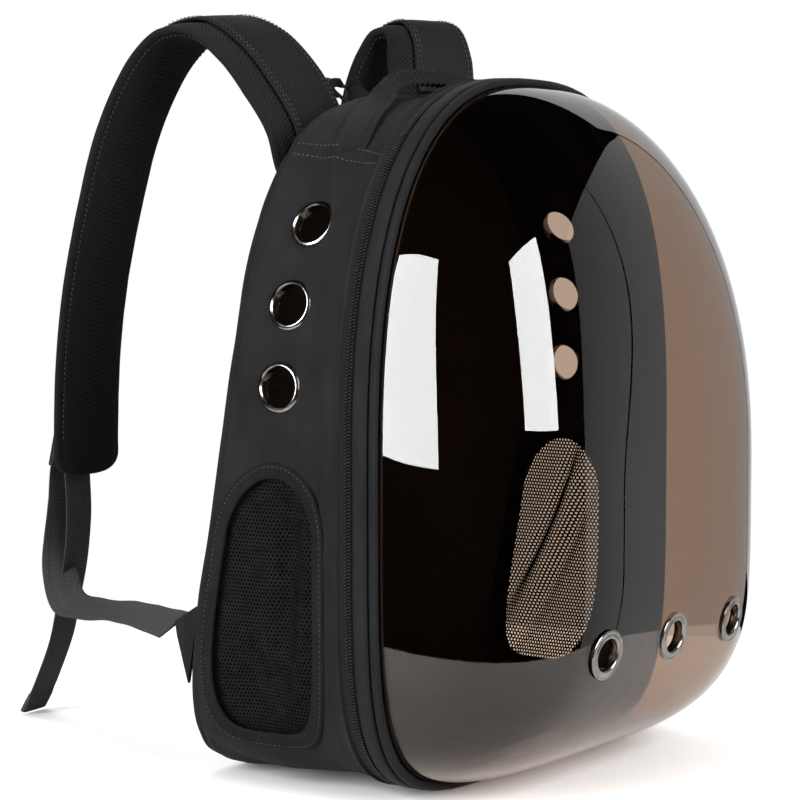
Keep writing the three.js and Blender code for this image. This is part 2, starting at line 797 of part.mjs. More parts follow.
// The lower webbing of a strap: from its tab near the base up to the buckle, over the
// middle bar and down again to a loose end. A row for each bend: on the way up, the share
// of the way from tab to bar, then outward, behind and above that line; on the way down,
// the share of the way to the ground and how far behind the bar. The width's direction is
// the yaw from +X towards +Y and the tip from level towards +Z, in degrees.
const overBar = webbingThickness / 2 + buckleBar * Math.SQRT1_2 + seam;
const leftWebbing = [
  { share: 0, out: 0, behind: 1.4, above: 0, yaw: -20, tip: 34 },
  { share: 0.24, out: 0, behind: 0, above: -25, yaw: -22, tip: 25 },
  { share: 0.46, out: 0, behind: 0, above: -49, yaw: -22, tip: 24 },
  { share: 0.74, out: 8, behind: 0, above: -81, yaw: -22, tip: 27 },
  { share: 0.9, out: 13, behind: 0, above: -95, yaw: -28, tip: 28 },
  { share: 0.99, out: 12, behind: 0, above: -88, yaw: -30, tip: 6 },
  { share: 1, out: 5, behind: 7, above: -69, yaw: -14, tip: -8 },
  { share: 1, out: 0, behind: 9, above: -38, yaw: 0, tip: 0 },
  { share: 1, out: 0, behind: 7.2, above: -15, yaw: 0, tip: 0 },
];
const leftTail = [
  { down: 0.1, behind: -6, yaw: 0, tip: 0 },
  { down: 0.34, behind: -6, yaw: 2, tip: 0 },
  { down: 0.5, behind: 0, yaw: 3, tip: 0 },
  { down: 0.65, behind: 7, yaw: 4, tip: 0 },
  { down: 0.78, behind: 16, yaw: 4, tip: 0 },
  { down: 0.88, behind: 26, yaw: 4, tip: 0 },
  { down: 0.985, behind: 38, yaw: 4, tip: 0 },
];
const rightWebbing = [
  { share: 0, out: 0, behind: 1.4, above: 0, yaw: -30, tip: 40 },
  { share: 0.14, out: 0, behind: 10, above: -16, yaw: -50, tip: 40 },
  { share: 0.4, out: 0, behind: 20, above: -40, yaw: -66, tip: 34 },
  { share: 0.66, out: 0, behind: 22, above: -56, yaw: -60, tip: 28 },
  { share: 0.88, out: 0, behind: 19, above: -58, yaw: -30, tip: 12 },
  { share: 1, out: 0, behind: 14, above: -42, yaw: 0, tip: 0 },
  { share: 1, out: 0, behind: 7.2, above: -15, yaw: 0, tip: 0 },
];
const rightTail = [
  { down: 0.14, behind: -6, yaw: 0, tip: 0 },
  { down: 0.48, behind: -5, yaw: 0, tip: 0 },
  { down: 0.74, behind: 2, yaw: 0, tip: 0 },
  { down: 0.975, behind: 14, yaw: 0, tip: 0 },
];

function lowerWebbing(side, hand, bar, rise, tail) {
  const tipUp = tabHeight * 0.2;
  const start = point(
    side * backEdge,
    backAt(tabHeightMiddle) + tabReach + seam,
    tabHeightMiddle + tipUp,
  );
  const up = rise.map(({ share, out, behind, above }) =>
    start
      .clone()
      .lerp(bar, share)
      .add(point(side * out, behind, above)),
  );
  const over = [180, 225, 270, 315, 360].map((angle) => {
    const turn = THREE.MathUtils.degToRad(angle);
    return bar.clone().add(point(0, -overBar * Math.cos(turn), -overBar * Math.sin(turn)));
  });
  const loose = tail.map(({ down, behind }) => point(bar.x, bar.y + behind, bar.z * (1 - down)));
  const rows = [...rise, ...over.map(() => ({ yaw: 0, tip: 0 })), ...tail];
  const stations = stationsAlong([...up, ...over, ...loose], undefined, (position) => {
    const yaw = THREE.MathUtils.degToRad(between(rows, "yaw", position));
    const tip = THREE.MathUtils.degToRad(between(rows, "tip", position));
    const level = Math.cos(tip);
    return point(level * Math.cos(yaw), -side * level * Math.sin(yaw), -side * Math.sin(tip));
  });
  const webbing = stations.map((station, i) => ({
    ...station,
    width: webbingWidth,
    thickness: i > stations.length - 3 ? hemThickness : webbingThickness,
  }));
  addPiece(hand + "_webbing", strip(webbing), blackWebbing);
}

// Height of the gusset's top over a place across the body, grown by an outset
function topAt(x, outset) {
  const tall = outlineHeight - widestHeight + outset;
  return widest + tall * (1 - (Math.abs(x) / (halfWidth + outset)) ** topPower) ** (1 / topPower);
}

// Grab handle: one webbing sewn over the body's top. Its middle is folded lengthwise
// into a tent that stands up as the grip. A row for each bend on either side of the
// middle: out and ahead are shares of the handle's half length.
const handleRows = [
  { out: 1, ahead: 0.12, rise: 0, fold: 0 },
  { out: 0.88, ahead: 0.09, rise: 0, fold: 0 },
  { out: 0.76, ahead: 0.05, rise: 0, fold: 0 },
  { out: 0.64, ahead: 0.02, rise: 0, fold: 0 },
  { out: 0.54, ahead: 0, rise: 0.2, fold: 0.35 },
  { out: 0.46, ahead: 0, rise: 0.9, fold: 0.95 },
  { out: 0.24, ahead: 0, rise: 1, fold: 1 },
  { out: 0, ahead: 0, rise: 1, fold: 1 },
];

function grabHandle() {
  const right = handleRows.slice(0, -1).reverse();
  const rows = [...handleRows.map((row) => ({ ...row, out: -row.out })), ...right];
  const rings = rows.map(({ out, ahead, rise, fold }) => {
    const x = out * handleEnd;
    const depth = handleDepth - ahead * handleEnd;
    const outset = gussetOutsetAt(depth, topAt(x, 0)) + handleGap;
    const half = mix(handleFlat, handleFolded, fold) / 2;
    const at = (share, height) => {
      const peak = fold * handlePeak * (1 - Math.abs(share) ** 1.4);
      const lift = outset + height * handleWall;
      return point(x, depth + share * half, topAt(x, lift) + rise * handleRise + peak);
    };
    const shares = [-1, -0.55, 0, 0.55, 1];
    return [...shares.map((share) => at(share, 1)), ...shares.reverse().map((share) => at(share, 0))];
  });
  addPiece("grab_handle", skin(rings), blackWebbing);
}

// Hanging loop: a short arch of webbing sewn to the back between the straps.
// A row for each bend on either side of the middle: out, behind and up in shares of
// the loop's span and reach.
const loopRows = [
  { out: 0.48, behind: 0, up: -0.5 },
  { out: 0.5, behind: 0.06, up: 0 },
  { out: 0.52, behind: 0.45, up: 0.55 },
  { out: 0.36, behind: 0.88, up: 0.92 },
  { out: 0, behind: 1, up: 1 },
];

function hangingLoop() {
  const foot = lowest + strapRoot + 39;
  const right = loopRows.slice(0, -1).reverse();
  const rows = [...loopRows.map((row) => ({ ...row, out: -row.out })), ...right];
  const places = rows.map(({ out, behind, up }) => {
    const z = foot + up * loopReach;
    const start = panelFace(0, Math.min(z, foot)) + seatGap + webbingThickness / 2;
    return point(out * loopSpan, start + behind * loopReach, z);
  });
  const stations = stationsAlong(places, 16, (position) => {
    const turn = (position / (rows.length - 1)) * Math.PI;
    return point(Math.cos(turn), 0.9 * Math.sin(turn), 0.43 * Math.sin(turn));
  });
  const loop = stations.map((station) => ({
    ...station,
    width: loopWidth,
    thickness: webbingThickness,
  }));
  addPiece("hanging_loop", strip(loop), blackWebbing);
}

// Two zip sliders, each a body over the coil with its pull hanging down
function zipSliders() {
  const coilMiddle = zipperFront + 0.6 + coilWidth / 2;
  for (const [name, z] of [
    ["upper", widest + sliderLength],
    ["lower", widest - pullLength - sliderLength],
  ]) {
    const x = widthAt(z, coilCrown) + 2 * seam + sliderHeight / 2;
    const slider = block(sliderHeight, coilWidth + 2, sliderLength, point(x, coilMiddle, z));
    const low = z - sliderLength / 2 - pullLength / 2 + 4;
    const pull = block(1.4, coilWidth, pullLength, point(x + 0.4, coilMiddle, low));
    addPiece("zip_slider_" + name, toGeometry(slider.add(pull)), blackPlastic);
  }
}

frontHoops();
body();
addPiece("back_panel", backPanel(), blackPadding);
dome();
const leftEnd = shoulderStrap(-1, "left", leftSwing, leftDrop, leftRoute);
const rightEnd = shoulderStrap(1, "right", rightSwing, rightDrop, rightRoute);
const leftLock = buckle(-1, "left", leftEnd);
const rightLock = buckle(1, "right", rightEnd);
lowerWebbing(-1, "left", leftLock, leftWebbing, leftTail);
lowerWebbing(1, "right", rightLock, rightWebbing, rightTail);
strapTab(-1, "left");
strapTab(1, "right");
grabHandle();
hangingLoop();
zipSliders();

// The ground under the middle of everything is the origin
const box = new THREE.Box3().setFromObject(carrier);
carrier.position.set(-(box.min.x + box.max.x) / 2, -(box.min.y + box.max.y) / 2, -box.min.z);

export default carrier;
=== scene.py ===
"""Bubble pet carrier backpack: the finished pieces, the stage, the lights and the camera."""

import bisect
import math

import bmesh
import bpy
from mathutils import Matrix, Vector, noise
from mathutils.bvhtree import BVHTree


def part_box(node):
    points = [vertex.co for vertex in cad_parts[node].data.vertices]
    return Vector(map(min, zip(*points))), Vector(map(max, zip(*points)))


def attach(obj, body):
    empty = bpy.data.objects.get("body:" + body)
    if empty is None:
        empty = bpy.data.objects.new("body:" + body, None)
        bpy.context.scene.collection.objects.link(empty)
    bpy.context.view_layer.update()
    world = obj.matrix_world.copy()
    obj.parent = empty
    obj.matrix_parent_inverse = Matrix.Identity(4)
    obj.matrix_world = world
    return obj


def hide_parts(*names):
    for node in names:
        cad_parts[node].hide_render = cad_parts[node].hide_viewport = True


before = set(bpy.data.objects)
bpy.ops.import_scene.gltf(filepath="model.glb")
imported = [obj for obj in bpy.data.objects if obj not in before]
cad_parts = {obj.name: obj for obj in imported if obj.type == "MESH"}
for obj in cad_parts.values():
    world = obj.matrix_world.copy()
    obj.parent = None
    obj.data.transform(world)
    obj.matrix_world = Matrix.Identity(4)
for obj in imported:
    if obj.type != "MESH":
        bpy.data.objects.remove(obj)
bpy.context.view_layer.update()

bl_info = {
    "name": "Bubble Pet Carrier",
    "version": (1, 0, 0),
    "blender": (4, 5, 0),
    "location": "View3D > Sidebar > Carrier",
    "description": "Builds a cloth pet carrier backpack with a clear domed front",
    "category": "Object",
}

BODY = "root"
MM = 0.001
SIDES = ((-1, "left"), (1, "right"))

# The solids' places and sizes in millimetres, and the powers of their curves
WIDEST_UP = 200.5
LOWEST = 5.5
TOP_POWER = 2.55
BOTTOM_POWER = 5.09
OUTLINE_STEPS = 1440
GUSSET_FRONT = 26.15
BAND_FRONT = 4.45
TAPE_FRONT = 15.4
BACK_KNEE = LOWEST + 255  # under this height the back slopes outwards
BACK_BEND = 25
BACK_SLOPE = 0.19
DOME_MIDDLE = LOWEST + 146
DOME_POWER = 1.75
PANEL_BULGE = 5
WINDOW_MIDDLE = LOWEST + 150
WINDOW_UP = 45.5
WINDOW_DOWN = 128
WINDOW_FRONT = 37.5
WINDOW_BACK = 9  # how far in front of the back edge a window ends
BINDING_HALF = 4.75
BINDING_WIDE = 4.7
GAP = 0.35  # between pieces that lie on each other


def length_property(name, description, default):
    return bpy.props.FloatProperty(name=name, description=description, default=default, unit="LENGTH")


class CarrierSizes(bpy.types.PropertyGroup):
    half_width: length_property("Half width", "Half the width of the front opening", 0.165)
    body_height: length_property("Body height", "Height of the front opening", 0.42)
    top_depth: length_property("Depth at the top", "Front edge to back, at the top", 0.1095)
    dome_depth: length_property("Dome depth", "How far the dome stands forward", 0.104)
    dome_wall: length_property("Dome wall", "Thickness of the clear dome", 0.0025)
    cloth_wall: length_property("Cloth wall", "Thickness of the body's lined cloth", 0.0026)
    net_cell: length_property("Net cell", "Width of one cell of the window net", 0.0024)
    webbing_width: length_property("Webbing width", "Width of the strap webbing", 0.025)


def colour_property(name, description, default):
    return bpy.props.FloatVectorProperty(
        name=name, description=description, default=default, subtype="COLOR", size=3, min=0, max=1
    )


class CarrierColours(bpy.types.PropertyGroup):
    cloth: colour_property("Cloth", "Body cloth", (0.0050, 0.0050, 0.0054))
    padding: colour_property("Padding", "Pads and spacer mesh", (0.0042, 0.0042, 0.0046))
    webbing: colour_property("Webbing", "Webbing and woven bands", (0.0052, 0.0052, 0.0057))
    smoke: colour_property("Smoke", "Tint of the clear dome", (0.47, 0.345, 0.262))
    nickel: colour_property("Nickel", "Plated eyelets", (0.24, 0.228, 0.215))
    floor: colour_property("Floor", "Table top", (0.55, 0.55, 0.55))


def mix(a, b, share):
    return a + (b - a) * share


def bump_at(value, centre, spread):
    return math.exp(-(((value - centre) / spread) ** 2))


def ring(share):
    """The cosine and the sine at a share of a turn."""
    turn = share * 2 * math.pi
    return math.cos(turn), math.sin(turn)


def boxy(value, power):
    """A cosine or sine pushed outwards, which makes a round section a rounded box."""
    return math.copysign(abs(value) ** power, value)


def ring_noise(share, count, level):
    """Noise that meets itself after one turn, with about that many waves on the way."""
    reach = count / (2 * math.pi)
    c, s = ring(share)
    return noise.noise(Vector((reach * c, reach * s, level)))


def smooth_value(rows, at, key):
    """The value of a column at a place in the first column, on a smooth curve through the rows."""
    places = [row[0] for row in rows]
    i = min(max(bisect.bisect_right(places, at) - 1, 0), len(rows) - 2)
    x0, x1 = places[i], places[i + 1]

    def slope(j):
        low, high = max(j - 1, 0), min(j + 1, len(rows) - 1)
        return (rows[high][key] - rows[low][key]) / (places[high] - places[low])

    t = min(max((at - x0) / (x1 - x0), 0), 1)
    step = x1 - x0
    a, b = rows[i][key], rows[i + 1][key]
    return (
        (2 * t**3 - 3 * t**2 + 1) * a
        + (t**3 - 2 * t**2 + t) * step * slope(i)
        + (3 * t**2 - 2 * t**3) * b
        + (t**3 - t**2) * step * slope(i + 1)
    )


# Gusset rows: share of the depth, then the outline's outset under, beside and over the body
GUSSET_ROWS = [
    (0, 5, 5, 5),
    (0.045, 2.6, 2.4, 1.6),
    (0.09, 1.8, 1.5, 0.5),
    (0.26, 2, -1, -4.5),
    (0.64, 6, 0, -4),
    (0.88, 6.6, 0.5, -2),
    (0.965, 4.5, -0.5, -3.5),
    (1, -3, -6, -8),
]


class Form:
    """The body's curves in millimetres, as the solids have them."""

    def __init__(self, context):
        sizes = context.scene.carrier_sizes
        self.half = sizes.half_width / MM
        self.height = sizes.body_height / MM
        self.top_depth = sizes.top_depth / MM
        self.dome_depth = sizes.dome_depth / MM
        self.wall = sizes.cloth_wall / MM
        low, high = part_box("front_band")
        self.shift = Vector(((low[0] + high[0]) / 2, low[1] - BAND_FRONT * MM, 0))
        self.turns = [
            i * 2 * math.pi / OUTLINE_STEPS - math.pi / 2 for i in range(OUTLINE_STEPS + 1)
        ]
        self.lengths = [0.0]
        for a, b in zip(self.turns, self.turns[1:]):
            (x0, z0), (x1, z1) = self.outline(a, 0), self.outline(b, 0)
            self.lengths.append(self.lengths[-1] + math.hypot(x1 - x0, z1 - z0))
        self.perimeter = self.lengths[-1]

    def at(self, x, y, z):
        return Vector((x * MM, y * MM, z * MM)) + self.shift

    def turn(self, share):
        """The angle at a share of the way round, from the bottom's middle towards +X."""
        length = (share % 1) * self.perimeter if share != 1 else self.perimeter
        i = min(max(bisect.bisect_right(self.lengths, length) - 1, 0), len(self.turns) - 2)
        part = (length - self.lengths[i]) / (self.lengths[i + 1] - self.lengths[i])
        return mix(self.turns[i], self.turns[i + 1], part)

    def half_shape(self, up):
        """The outline's height and power, above or below its widest line."""
        if up:
            return self.height + LOWEST - WIDEST_UP, TOP_POWER
        return WIDEST_UP - LOWEST, BOTTOM_POWER

    def outline(self, angle, outset):
        tall, power = self.half_shape(math.sin(angle) >= 0)
        across = abs(math.cos(angle)) / (self.half + outset)
        upright = abs(math.sin(angle)) / (tall + outset)
        radius = (across**power + upright**power) ** (-1 / power)
        return radius * math.cos(angle), WIDEST_UP + radius * math.sin(angle)

    def width_at(self, z, outset):
        tall, power = self.half_shape(z >= WIDEST_UP)
        share = min(abs(z - WIDEST_UP) / (tall + outset), 1)
        return (self.half + outset) * (1 - share**power) ** (1 / power)

    def back_at(self, z):
        bend = math.log(1 + math.exp((BACK_KNEE - z) / BACK_BEND))
        return self.top_depth + BACK_SLOPE * BACK_BEND * bend

    def outset_at(self, deep, z):
        under, side, over = (smooth_value(GUSSET_ROWS, deep, key) for key in (1, 2, 3))
        tall, _ = self.half_shape(z >= WIDEST_UP)
        share = min(abs(z - WIDEST_UP) / tall, 1)
        return mix(side, over, share**1.5) if z >= WIDEST_UP else mix(side, under, share**3)

    def deep_at(self, depth, z):
        return (depth - GUSSET_FRONT) / (self.back_at(z) - GUSSET_FRONT)

    def side(self, hand, depth, z):
        return Vector((hand * self.width_at(z, self.outset_at(self.deep_at(depth, z), z)), depth, z))

    def side_normal(self, hand, depth, z):
        along = self.side(hand, depth + 2, z) - self.side(hand, depth - 2, z)
        up = self.side(hand, depth, z + 2) - self.side(hand, depth, z - 2)
        normal = along.cross(up).normalized()
        return -normal if normal.x * hand < 0 else normal

    def over_side(self, hand, depth, z, height):
        spot = self.side(hand, depth, z) + self.side_normal(hand, depth, z) * height
        return self.at(*spot)

    def around(self, share, deep, outset):
        """A point on the gusset at a share of the way round and of the depth, moved out."""
        angle = self.turn(share)
        z = self.outline(angle, 0)[1]
        x, z = self.outline(angle, self.outset_at(deep, z) + outset)
        return Vector((x, mix(GUSSET_FRONT, self.back_at(z), deep), z))

    def top_at(self, x, outset):
        tall, power = self.half_shape(True)
        share = abs(x) / (self.half + outset)
        return WIDEST_UP + (tall + outset) * (1 - share**power) ** (1 / power)

    def dome(self, angle, forward, inset):
        x, z = self.outline(angle, -inset)
        left = max(0.0, 1 - forward**DOME_POWER)
        z = mix(DOME_MIDDLE, z, left ** (1 / 3.3))
        return Vector((x * left**0.2, -(self.dome_depth - inset) * forward, z))

    def panel_face(self, x, z):
        reach = math.hypot(x / self.half, (z - WIDEST_UP) / (self.height / 2))
        return self.back_at(z) + PANEL_BULGE * max(0, 1 - reach**2) - 1

    def window(self, turn, margin):
        up = math.sin(turn) >= 0
        power = 2 if up else 4
        reach = (abs(math.cos(turn)) ** power + abs(math.sin(turn)) ** power) ** (-1 / power)
        tall = (WINDOW_UP if up else WINDOW_DOWN) + margin
        z = WINDOW_MIDDLE + tall * reach * math.sin(turn)
        front, back = WINDOW_FRONT - margin, self.back_at(z) - WINDOW_BACK + margin
        return mix(front, back, (1 + reach * math.cos(turn)) / 2), z


def fresh_mesh():
    bm = bmesh.new()
    bm.loops.layers.uv.new("UVMap")
    return bm


def sheet_mesh(columns, rows, place, size):
    """A grid whose points are put in place one by one; its UV map is in millimetres."""
    bm = fresh_mesh()
    uv = bm.loops.layers.uv.active
    bmesh.ops.create_grid(bm, x_segments=columns, y_segments=rows, size=0.5)
    for face in bm.faces:
        face.smooth = True
        for loop in face.loops:
            loop[uv].uv = ((loop.vert.co.x + 0.5) * size[0], (loop.vert.co.y + 0.5) * size[1])
    for vert in bm.verts:
        vert.co = place(min(max(vert.co.x + 0.5, 0), 1), min(max(vert.co.y + 0.5, 0), 1))
    bmesh.ops.remove_doubles(bm, verts=bm.verts, dist=1e-6)
    return bm


def thicken(bm, wall):
    """Gives a sheet its wall, inwards from its faces."""
    bmesh.ops.solidify(bm, geom=bm.faces[:] + bm.edges[:] + bm.verts[:], thickness=wall)


def close_ends(bm):
    edges = [edge for edge in bm.edges if edge.is_boundary]
    bmesh.ops.holes_fill(bm, edges=edges, sides=0)
    bmesh.ops.recalc_face_normals(bm, faces=bm.faces)


def harden_edges(bm, sharp):
    """Smooths the edges, except those sharper than an angle in degrees."""
    for edge in bm.edges:
        if len(edge.link_faces) == 2:
            edge.smooth = edge.calc_face_angle(0) < math.radians(sharp)


def add_object(bm, name, kind=None):
    """Puts the mesh into the scene, in a finish if one is named."""
    mesh = bpy.data.meshes.new(name)
    bm.to_mesh(mesh)
    bm.free()
    if kind:
        mesh.materials.append(finish_of(kind))
    made = bpy.data.objects.new(name, mesh)
    bpy.context.scene.collection.objects.link(made)
    return made


def add_piece(bm, name, kind, nodes, sharp):
    """Makes the mesh a piece on the body, with edges sharper than an angle left hard."""
    harden_edges(bm, sharp)
    for face in bm.faces:
        face.smooth = True
    piece = add_object(bm, name, kind)
    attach(piece, BODY)
    if nodes:
        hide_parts(*nodes)
    return piece


def cut_from(piece, cutters):
    """Takes the cutters' shapes out of a piece and removes them."""
    for cutter in cutters:
        change = piece.modifiers.new("cut", "BOOLEAN")
        change.operation = "DIFFERENCE"
        change.solver = "EXACT"
        change.object = cutter
    bpy.context.view_layer.update()
    ready = piece.evaluated_get(bpy.context.evaluated_depsgraph_get())
    mesh = bpy.data.meshes.new_from_object(ready)
    piece.modifiers.clear()
    mesh.name = piece.name
    piece.data = mesh
    bm = bmesh.new()
    bm.from_mesh(mesh)
    harden_edges(bm, 38)
    bm.to_mesh(mesh)
    bm.free()
    for cutter in cutters:
        bpy.data.objects.remove(cutter)


def cutter(bm, name):
    bmesh.ops.recalc_face_normals(bm, faces=bm.faces)
    return add_object(bm, name)


def rounded_boxes(parts, rounding):
    """Boxes of (centre, size) with rounded edges, in one mesh."""
    bm = fresh_mesh()
    for centre, size in parts:
        matrix = Matrix.Translation(centre) @ Matrix.Diagonal((*size, 1))
        made = bmesh.ops.create_cube(bm, size=1, matrix=matrix)
        edges = {edge for vert in made["verts"] for edge in vert.link_edges}
        bmesh.ops.bevel(
            bm, geom=list(edges), offset=rounding, segments=3, affect="EDGES", profile=0.5, material=-1
        )
    return bm


def thick_face(corners, way):
    """A flat face through the corners, carried along a way into a solid."""
    bm = fresh_mesh()
    face = bm.faces.new([bm.verts.new(corner) for corner in corners])
    grown = bmesh.ops.extrude_face_region(bm, geom=[face])
    moved = [item for item in grown["geom"] if isinstance(item, bmesh.types.BMVert)]
    bmesh.ops.translate(bm, vec=way, verts=moved)
    return bm


class Route:
    """A smooth curve through places, with a frame at any share of its length."""

    def __init__(self, places, widthwise):
        self.places = [Vector(place) for place in places]
        self.widthwise = widthwise
        count = 400
        steps = [self.point(i / count) for i in range(count + 1)]
        self.lengths = [0.0]
        for a, b in zip(steps, steps[1:]):
            self.lengths.append(self.lengths[-1] + (b - a).length)
        self.length = self.lengths[-1]

    def point(self, share):
        p = self.places
        spot = min(max(share, 0), 1) * (len(p) - 1)
        i = min(int(spot), len(p) - 2)
        w = spot - i
        before = p[i - 1] if i > 0 else 2 * p[0] - p[1]
        after = p[i + 2] if i + 2 < len(p) else 2 * p[-1] - p[-2]
        d0 = max((p[i] - before).length_squared ** 0.25, 1e-4)
        d1 = max((p[i + 1] - p[i]).length_squared ** 0.25, 1e-4)
        d2 = max((after - p[i + 1]).length_squared ** 0.25, 1e-4)
        t1 = ((p[i] - before) / d0 - (p[i + 1] - before) / (d0 + d1) + (p[i + 1] - p[i]) / d1) * d1
        t2 = ((p[i + 1] - p[i]) / d1 - (after - p[i]) / (d1 + d2) + (after - p[i + 1]) / d2) * d1
        c2 = -3 * p[i] + 3 * p[i + 1] - 2 * t1 - t2
        c3 = 2 * p[i] - 2 * p[i + 1] + t1 + t2
        return p[i] + t1 * w + c2 * w * w + c3 * w**3

    def share_at(self, part):
        length = part * self.length
        last = len(self.lengths) - 1
        i = min(max(bisect.bisect_right(self.lengths, length) - 1, 0), last - 1)
        low, high = self.lengths[i], self.lengths[i + 1]
        return (i + (length - low) / (high - low)) / last

    def station(self, part):
        """Centre, along, across and normal at a part of the length."""
        share = self.share_at(min(max(part, 0), 1))
        step = 0.0006
        along = (self.point(share + step) - self.point(share - step)).normalized()
        across = self.widthwise(share * (len(self.places) - 1), along)
        across = (across - along * across.dot(along)).normalized()
        return self.point(share), along, across, -along.cross(across)


def between(rows, key, position):
    row = min(int(position), len(rows) - 2)
    return mix(rows[row][key], rows[row + 1][key], position - row)


def sweep(form, route, section, width, columns, rows, start=0.0, shift=(0, 0)):
    """A closed section carried along a route; the section gives the across and normal
    offsets for a share round it and a part of the length."""
    stations = [route.station(mix(start, 1, i / rows)) for i in range(rows + 1)]

    def place(u, v):
        i = round(v * rows)
        centre, _, across, normal = stations[i]
        a, n = section(u, i / rows)
        spot = centre + across * (a + shift[0]) + normal * (n + shift[1])
        return form.at(*spot)

    bm = sheet_mesh(columns, rows, place, (2 * width, route.length * (1 - start)))
    close_ends(bm)
    return bm


def flat_section(width, thick, crown=0.0):
    """A flat strip's section with rounded edges: across and normal offsets round it."""

    def section(u, _):
        c, s = ring(u)
        a = boxy(c, 0.5) * width / 2
        return a, boxy(s, 0.5) * (thick / 2 + crown * (1 - (2 * a / width) ** 2))

    return section


# ---- materials


class Nodes:
    """Short calls for a material's nodes and links."""

    def __init__(self, name):
        self.material = bpy.data.materials.new(name)
        self.material.use_nodes = True
        self.tree = self.material.node_tree
        self.shader = next(n for n in self.tree.nodes if n.type == "BSDF_PRINCIPLED")
        self.output = next(n for n in self.tree.nodes if n.type == "OUTPUT_MATERIAL")

    def node(self, kind, inputs=None, **settings):
        made = self.tree.nodes.new(kind)
        for key, value in settings.items():
            setattr(made, key, value)
        for key, value in (inputs or {}).items():
            socket = made.inputs[key]
            if isinstance(value, bpy.types.NodeSocket):
                self.tree.links.new(value, socket)
            else:
                socket.default_value = value
        return made

    def math(self, operation, *values):
        return self.node("ShaderNodeMath", dict(enumerate(values)), operation=operation).outputs[0]

    def wave(self, value, pitch):
        return self.math("SINE", self.math("MULTIPLY", value, 2 * math.pi / pitch))

    def place(self):
        return self.node("ShaderNodeTexCoord").outputs["Object"]

    def flat(self):
        """The UV map in millimetres, and its ways across and along the cloth."""
        uv = self.node("ShaderNodeTexCoord").outputs["UV"]
        parts = self.node("ShaderNodeSeparateXYZ", {"Vector": uv})
        return uv, parts.outputs["X"], parts.outputs["Y"]

    def noise(self, vector, scale, detail, rough):
        inputs = {"Vector": vector, "Scale": scale, "Detail": detail, "Roughness": rough}
        return self.node("ShaderNodeTexNoise", inputs).outputs["Fac"]

    def ramp(self, value, low, high, dark=0.0, light=1.0):
        ends = {"From Min": low, "From Max": high, "To Min": dark, "To Max": light}
        return self.node("ShaderNodeMapRange", {"Value": value, **ends}).outputs["Result"]

    def shade(self, value, dark, light):
        colours = {"Factor": value, 6: (*dark, 1), 7: (*light, 1)}
        made = self.node("ShaderNodeMix", colours, data_type="RGBA")
        self.tree.links.new(made.outputs[2], self.shader.inputs["Base Color"])

    def bumps(self, *layers):
        """Layers of (height, strength, distance in metres), the coarsest first."""
        normal = None
        for height, strength, distance in layers:
            inputs = {"Height": height, "Strength": strength, "Distance": distance}
            if normal:
                inputs["Normal"] = normal
            normal = self.node("ShaderNodeBump", inputs).outputs["Normal"]
        self.tree.links.new(normal, self.shader.inputs["Normal"])

    def set(self, **values):
        names = {
            "rough": "Roughness",
            "metal": "Metallic",
            "sheen": "Sheen Weight",
            "sheen_rough": "Sheen Roughness",
            "clear": "Transmission Weight",
            "ior": "IOR",
            "coat": "Coat Weight",
            "coat_rough": "Coat Roughness",
            "specular": "Specular IOR Level",
        }
        for key, value in values.items():
            self.shader.inputs[names[key]].default_value = value
        return self.material


def scaled(colour, share):
    return tuple(min(part * share, 1) for part in colour)


def woven(name, colour, pitch=0.9, rough=0.66):
    """Plain-woven cloth: crossing threads, with loose crumples and faint fading."""
    nodes = Nodes(name)
    uv, x, y = nodes.flat()
    cloth = nodes.math("MULTIPLY", nodes.wave(x, pitch), nodes.wave(y, pitch))
    creases = nodes.noise(uv, 0.045, 4.0, 0.55)
    fuzz = nodes.noise(uv, 1.4, 2.0, 0.6)
    patches = nodes.noise(uv, 0.02, 3.0, 0.6)
    nodes.bumps((creases, 0.35, 0.004), (fuzz, 0.25, 0.0004), (cloth, 0.5, 0.0002))
    tone = nodes.math("ADD", nodes.math("MULTIPLY", fuzz, 0.65), nodes.math("MULTIPLY", patches, 0.35))
    nodes.shade(nodes.ramp(tone, 0.33, 0.67), scaled(colour, 0.4), scaled(colour, 1.8))
    return nodes.set(rough=rough, sheen=0.01, sheen_rough=0.45, specular=0.05)


def ribbed(name, colour, pitch=1.5, slant=6.0, strength=0.45):
    """Webbing: slanting ribs that change their way at even steps across the width."""
    nodes = Nodes(name)
    uv, x, y = nodes.flat()
    zigzag = nodes.math("ADD", y, nodes.math("PINGPONG", x, slant))
    rib = nodes.wave(zigzag, pitch)
    cord = nodes.wave(x, slant / 2)
    fuzz = nodes.noise(uv, 1.8, 2.0, 0.6)
    nodes.bumps((cord, 0.3, 0.0003), (rib, strength, 0.0004), (fuzz, 0.3, 0.0003))
    # Partly painted shade: rib crests lighter and grooves darker; the fuzz gives random tone.
    tone = nodes.math("ADD", nodes.math("MULTIPLY", rib, 0.25), fuzz)
    nodes.shade(nodes.ramp(tone, 0.2, 0.85), scaled(colour, 0.5), scaled(colour, 1.6))
    return nodes.set(rough=0.62, sheen=0.01, sheen_rough=0.4, specular=0.05)


def spacer(name, colour, cell=3.2):
    """Spacer mesh: rows of small round openings, with painted shade darkening them."""
    nodes = Nodes(name)
    uv, x, y = nodes.flat()
    one = nodes.math("MULTIPLY", nodes.wave(y, cell), nodes.wave(x, cell))
    rib = nodes.wave(nodes.math("ADD", y, nodes.math("PINGPONG", x, 7.0)), 4.2)
    fuzz = nodes.noise(uv, 1.2, 2.0, 0.6)
    nodes.bumps((rib, 0.22, 0.0005), (one, 0.6, 0.0005), (fuzz, 0.3, 0.0004))
    # Painted shade: the colour follows the openings' and ribs' heights, darker where they lie low.
    tone = nodes.math("ADD", nodes.math("MULTIPLY", one, 0.3), nodes.math("MULTIPLY", rib, 0.05))
    nodes.shade(nodes.ramp(tone, -0.4, 0.4), scaled(colour, 0.4), scaled(colour, 1.7))
    return nodes.set(rough=0.8, sheen=0.01, sheen_rough=0.5, specular=0.04)


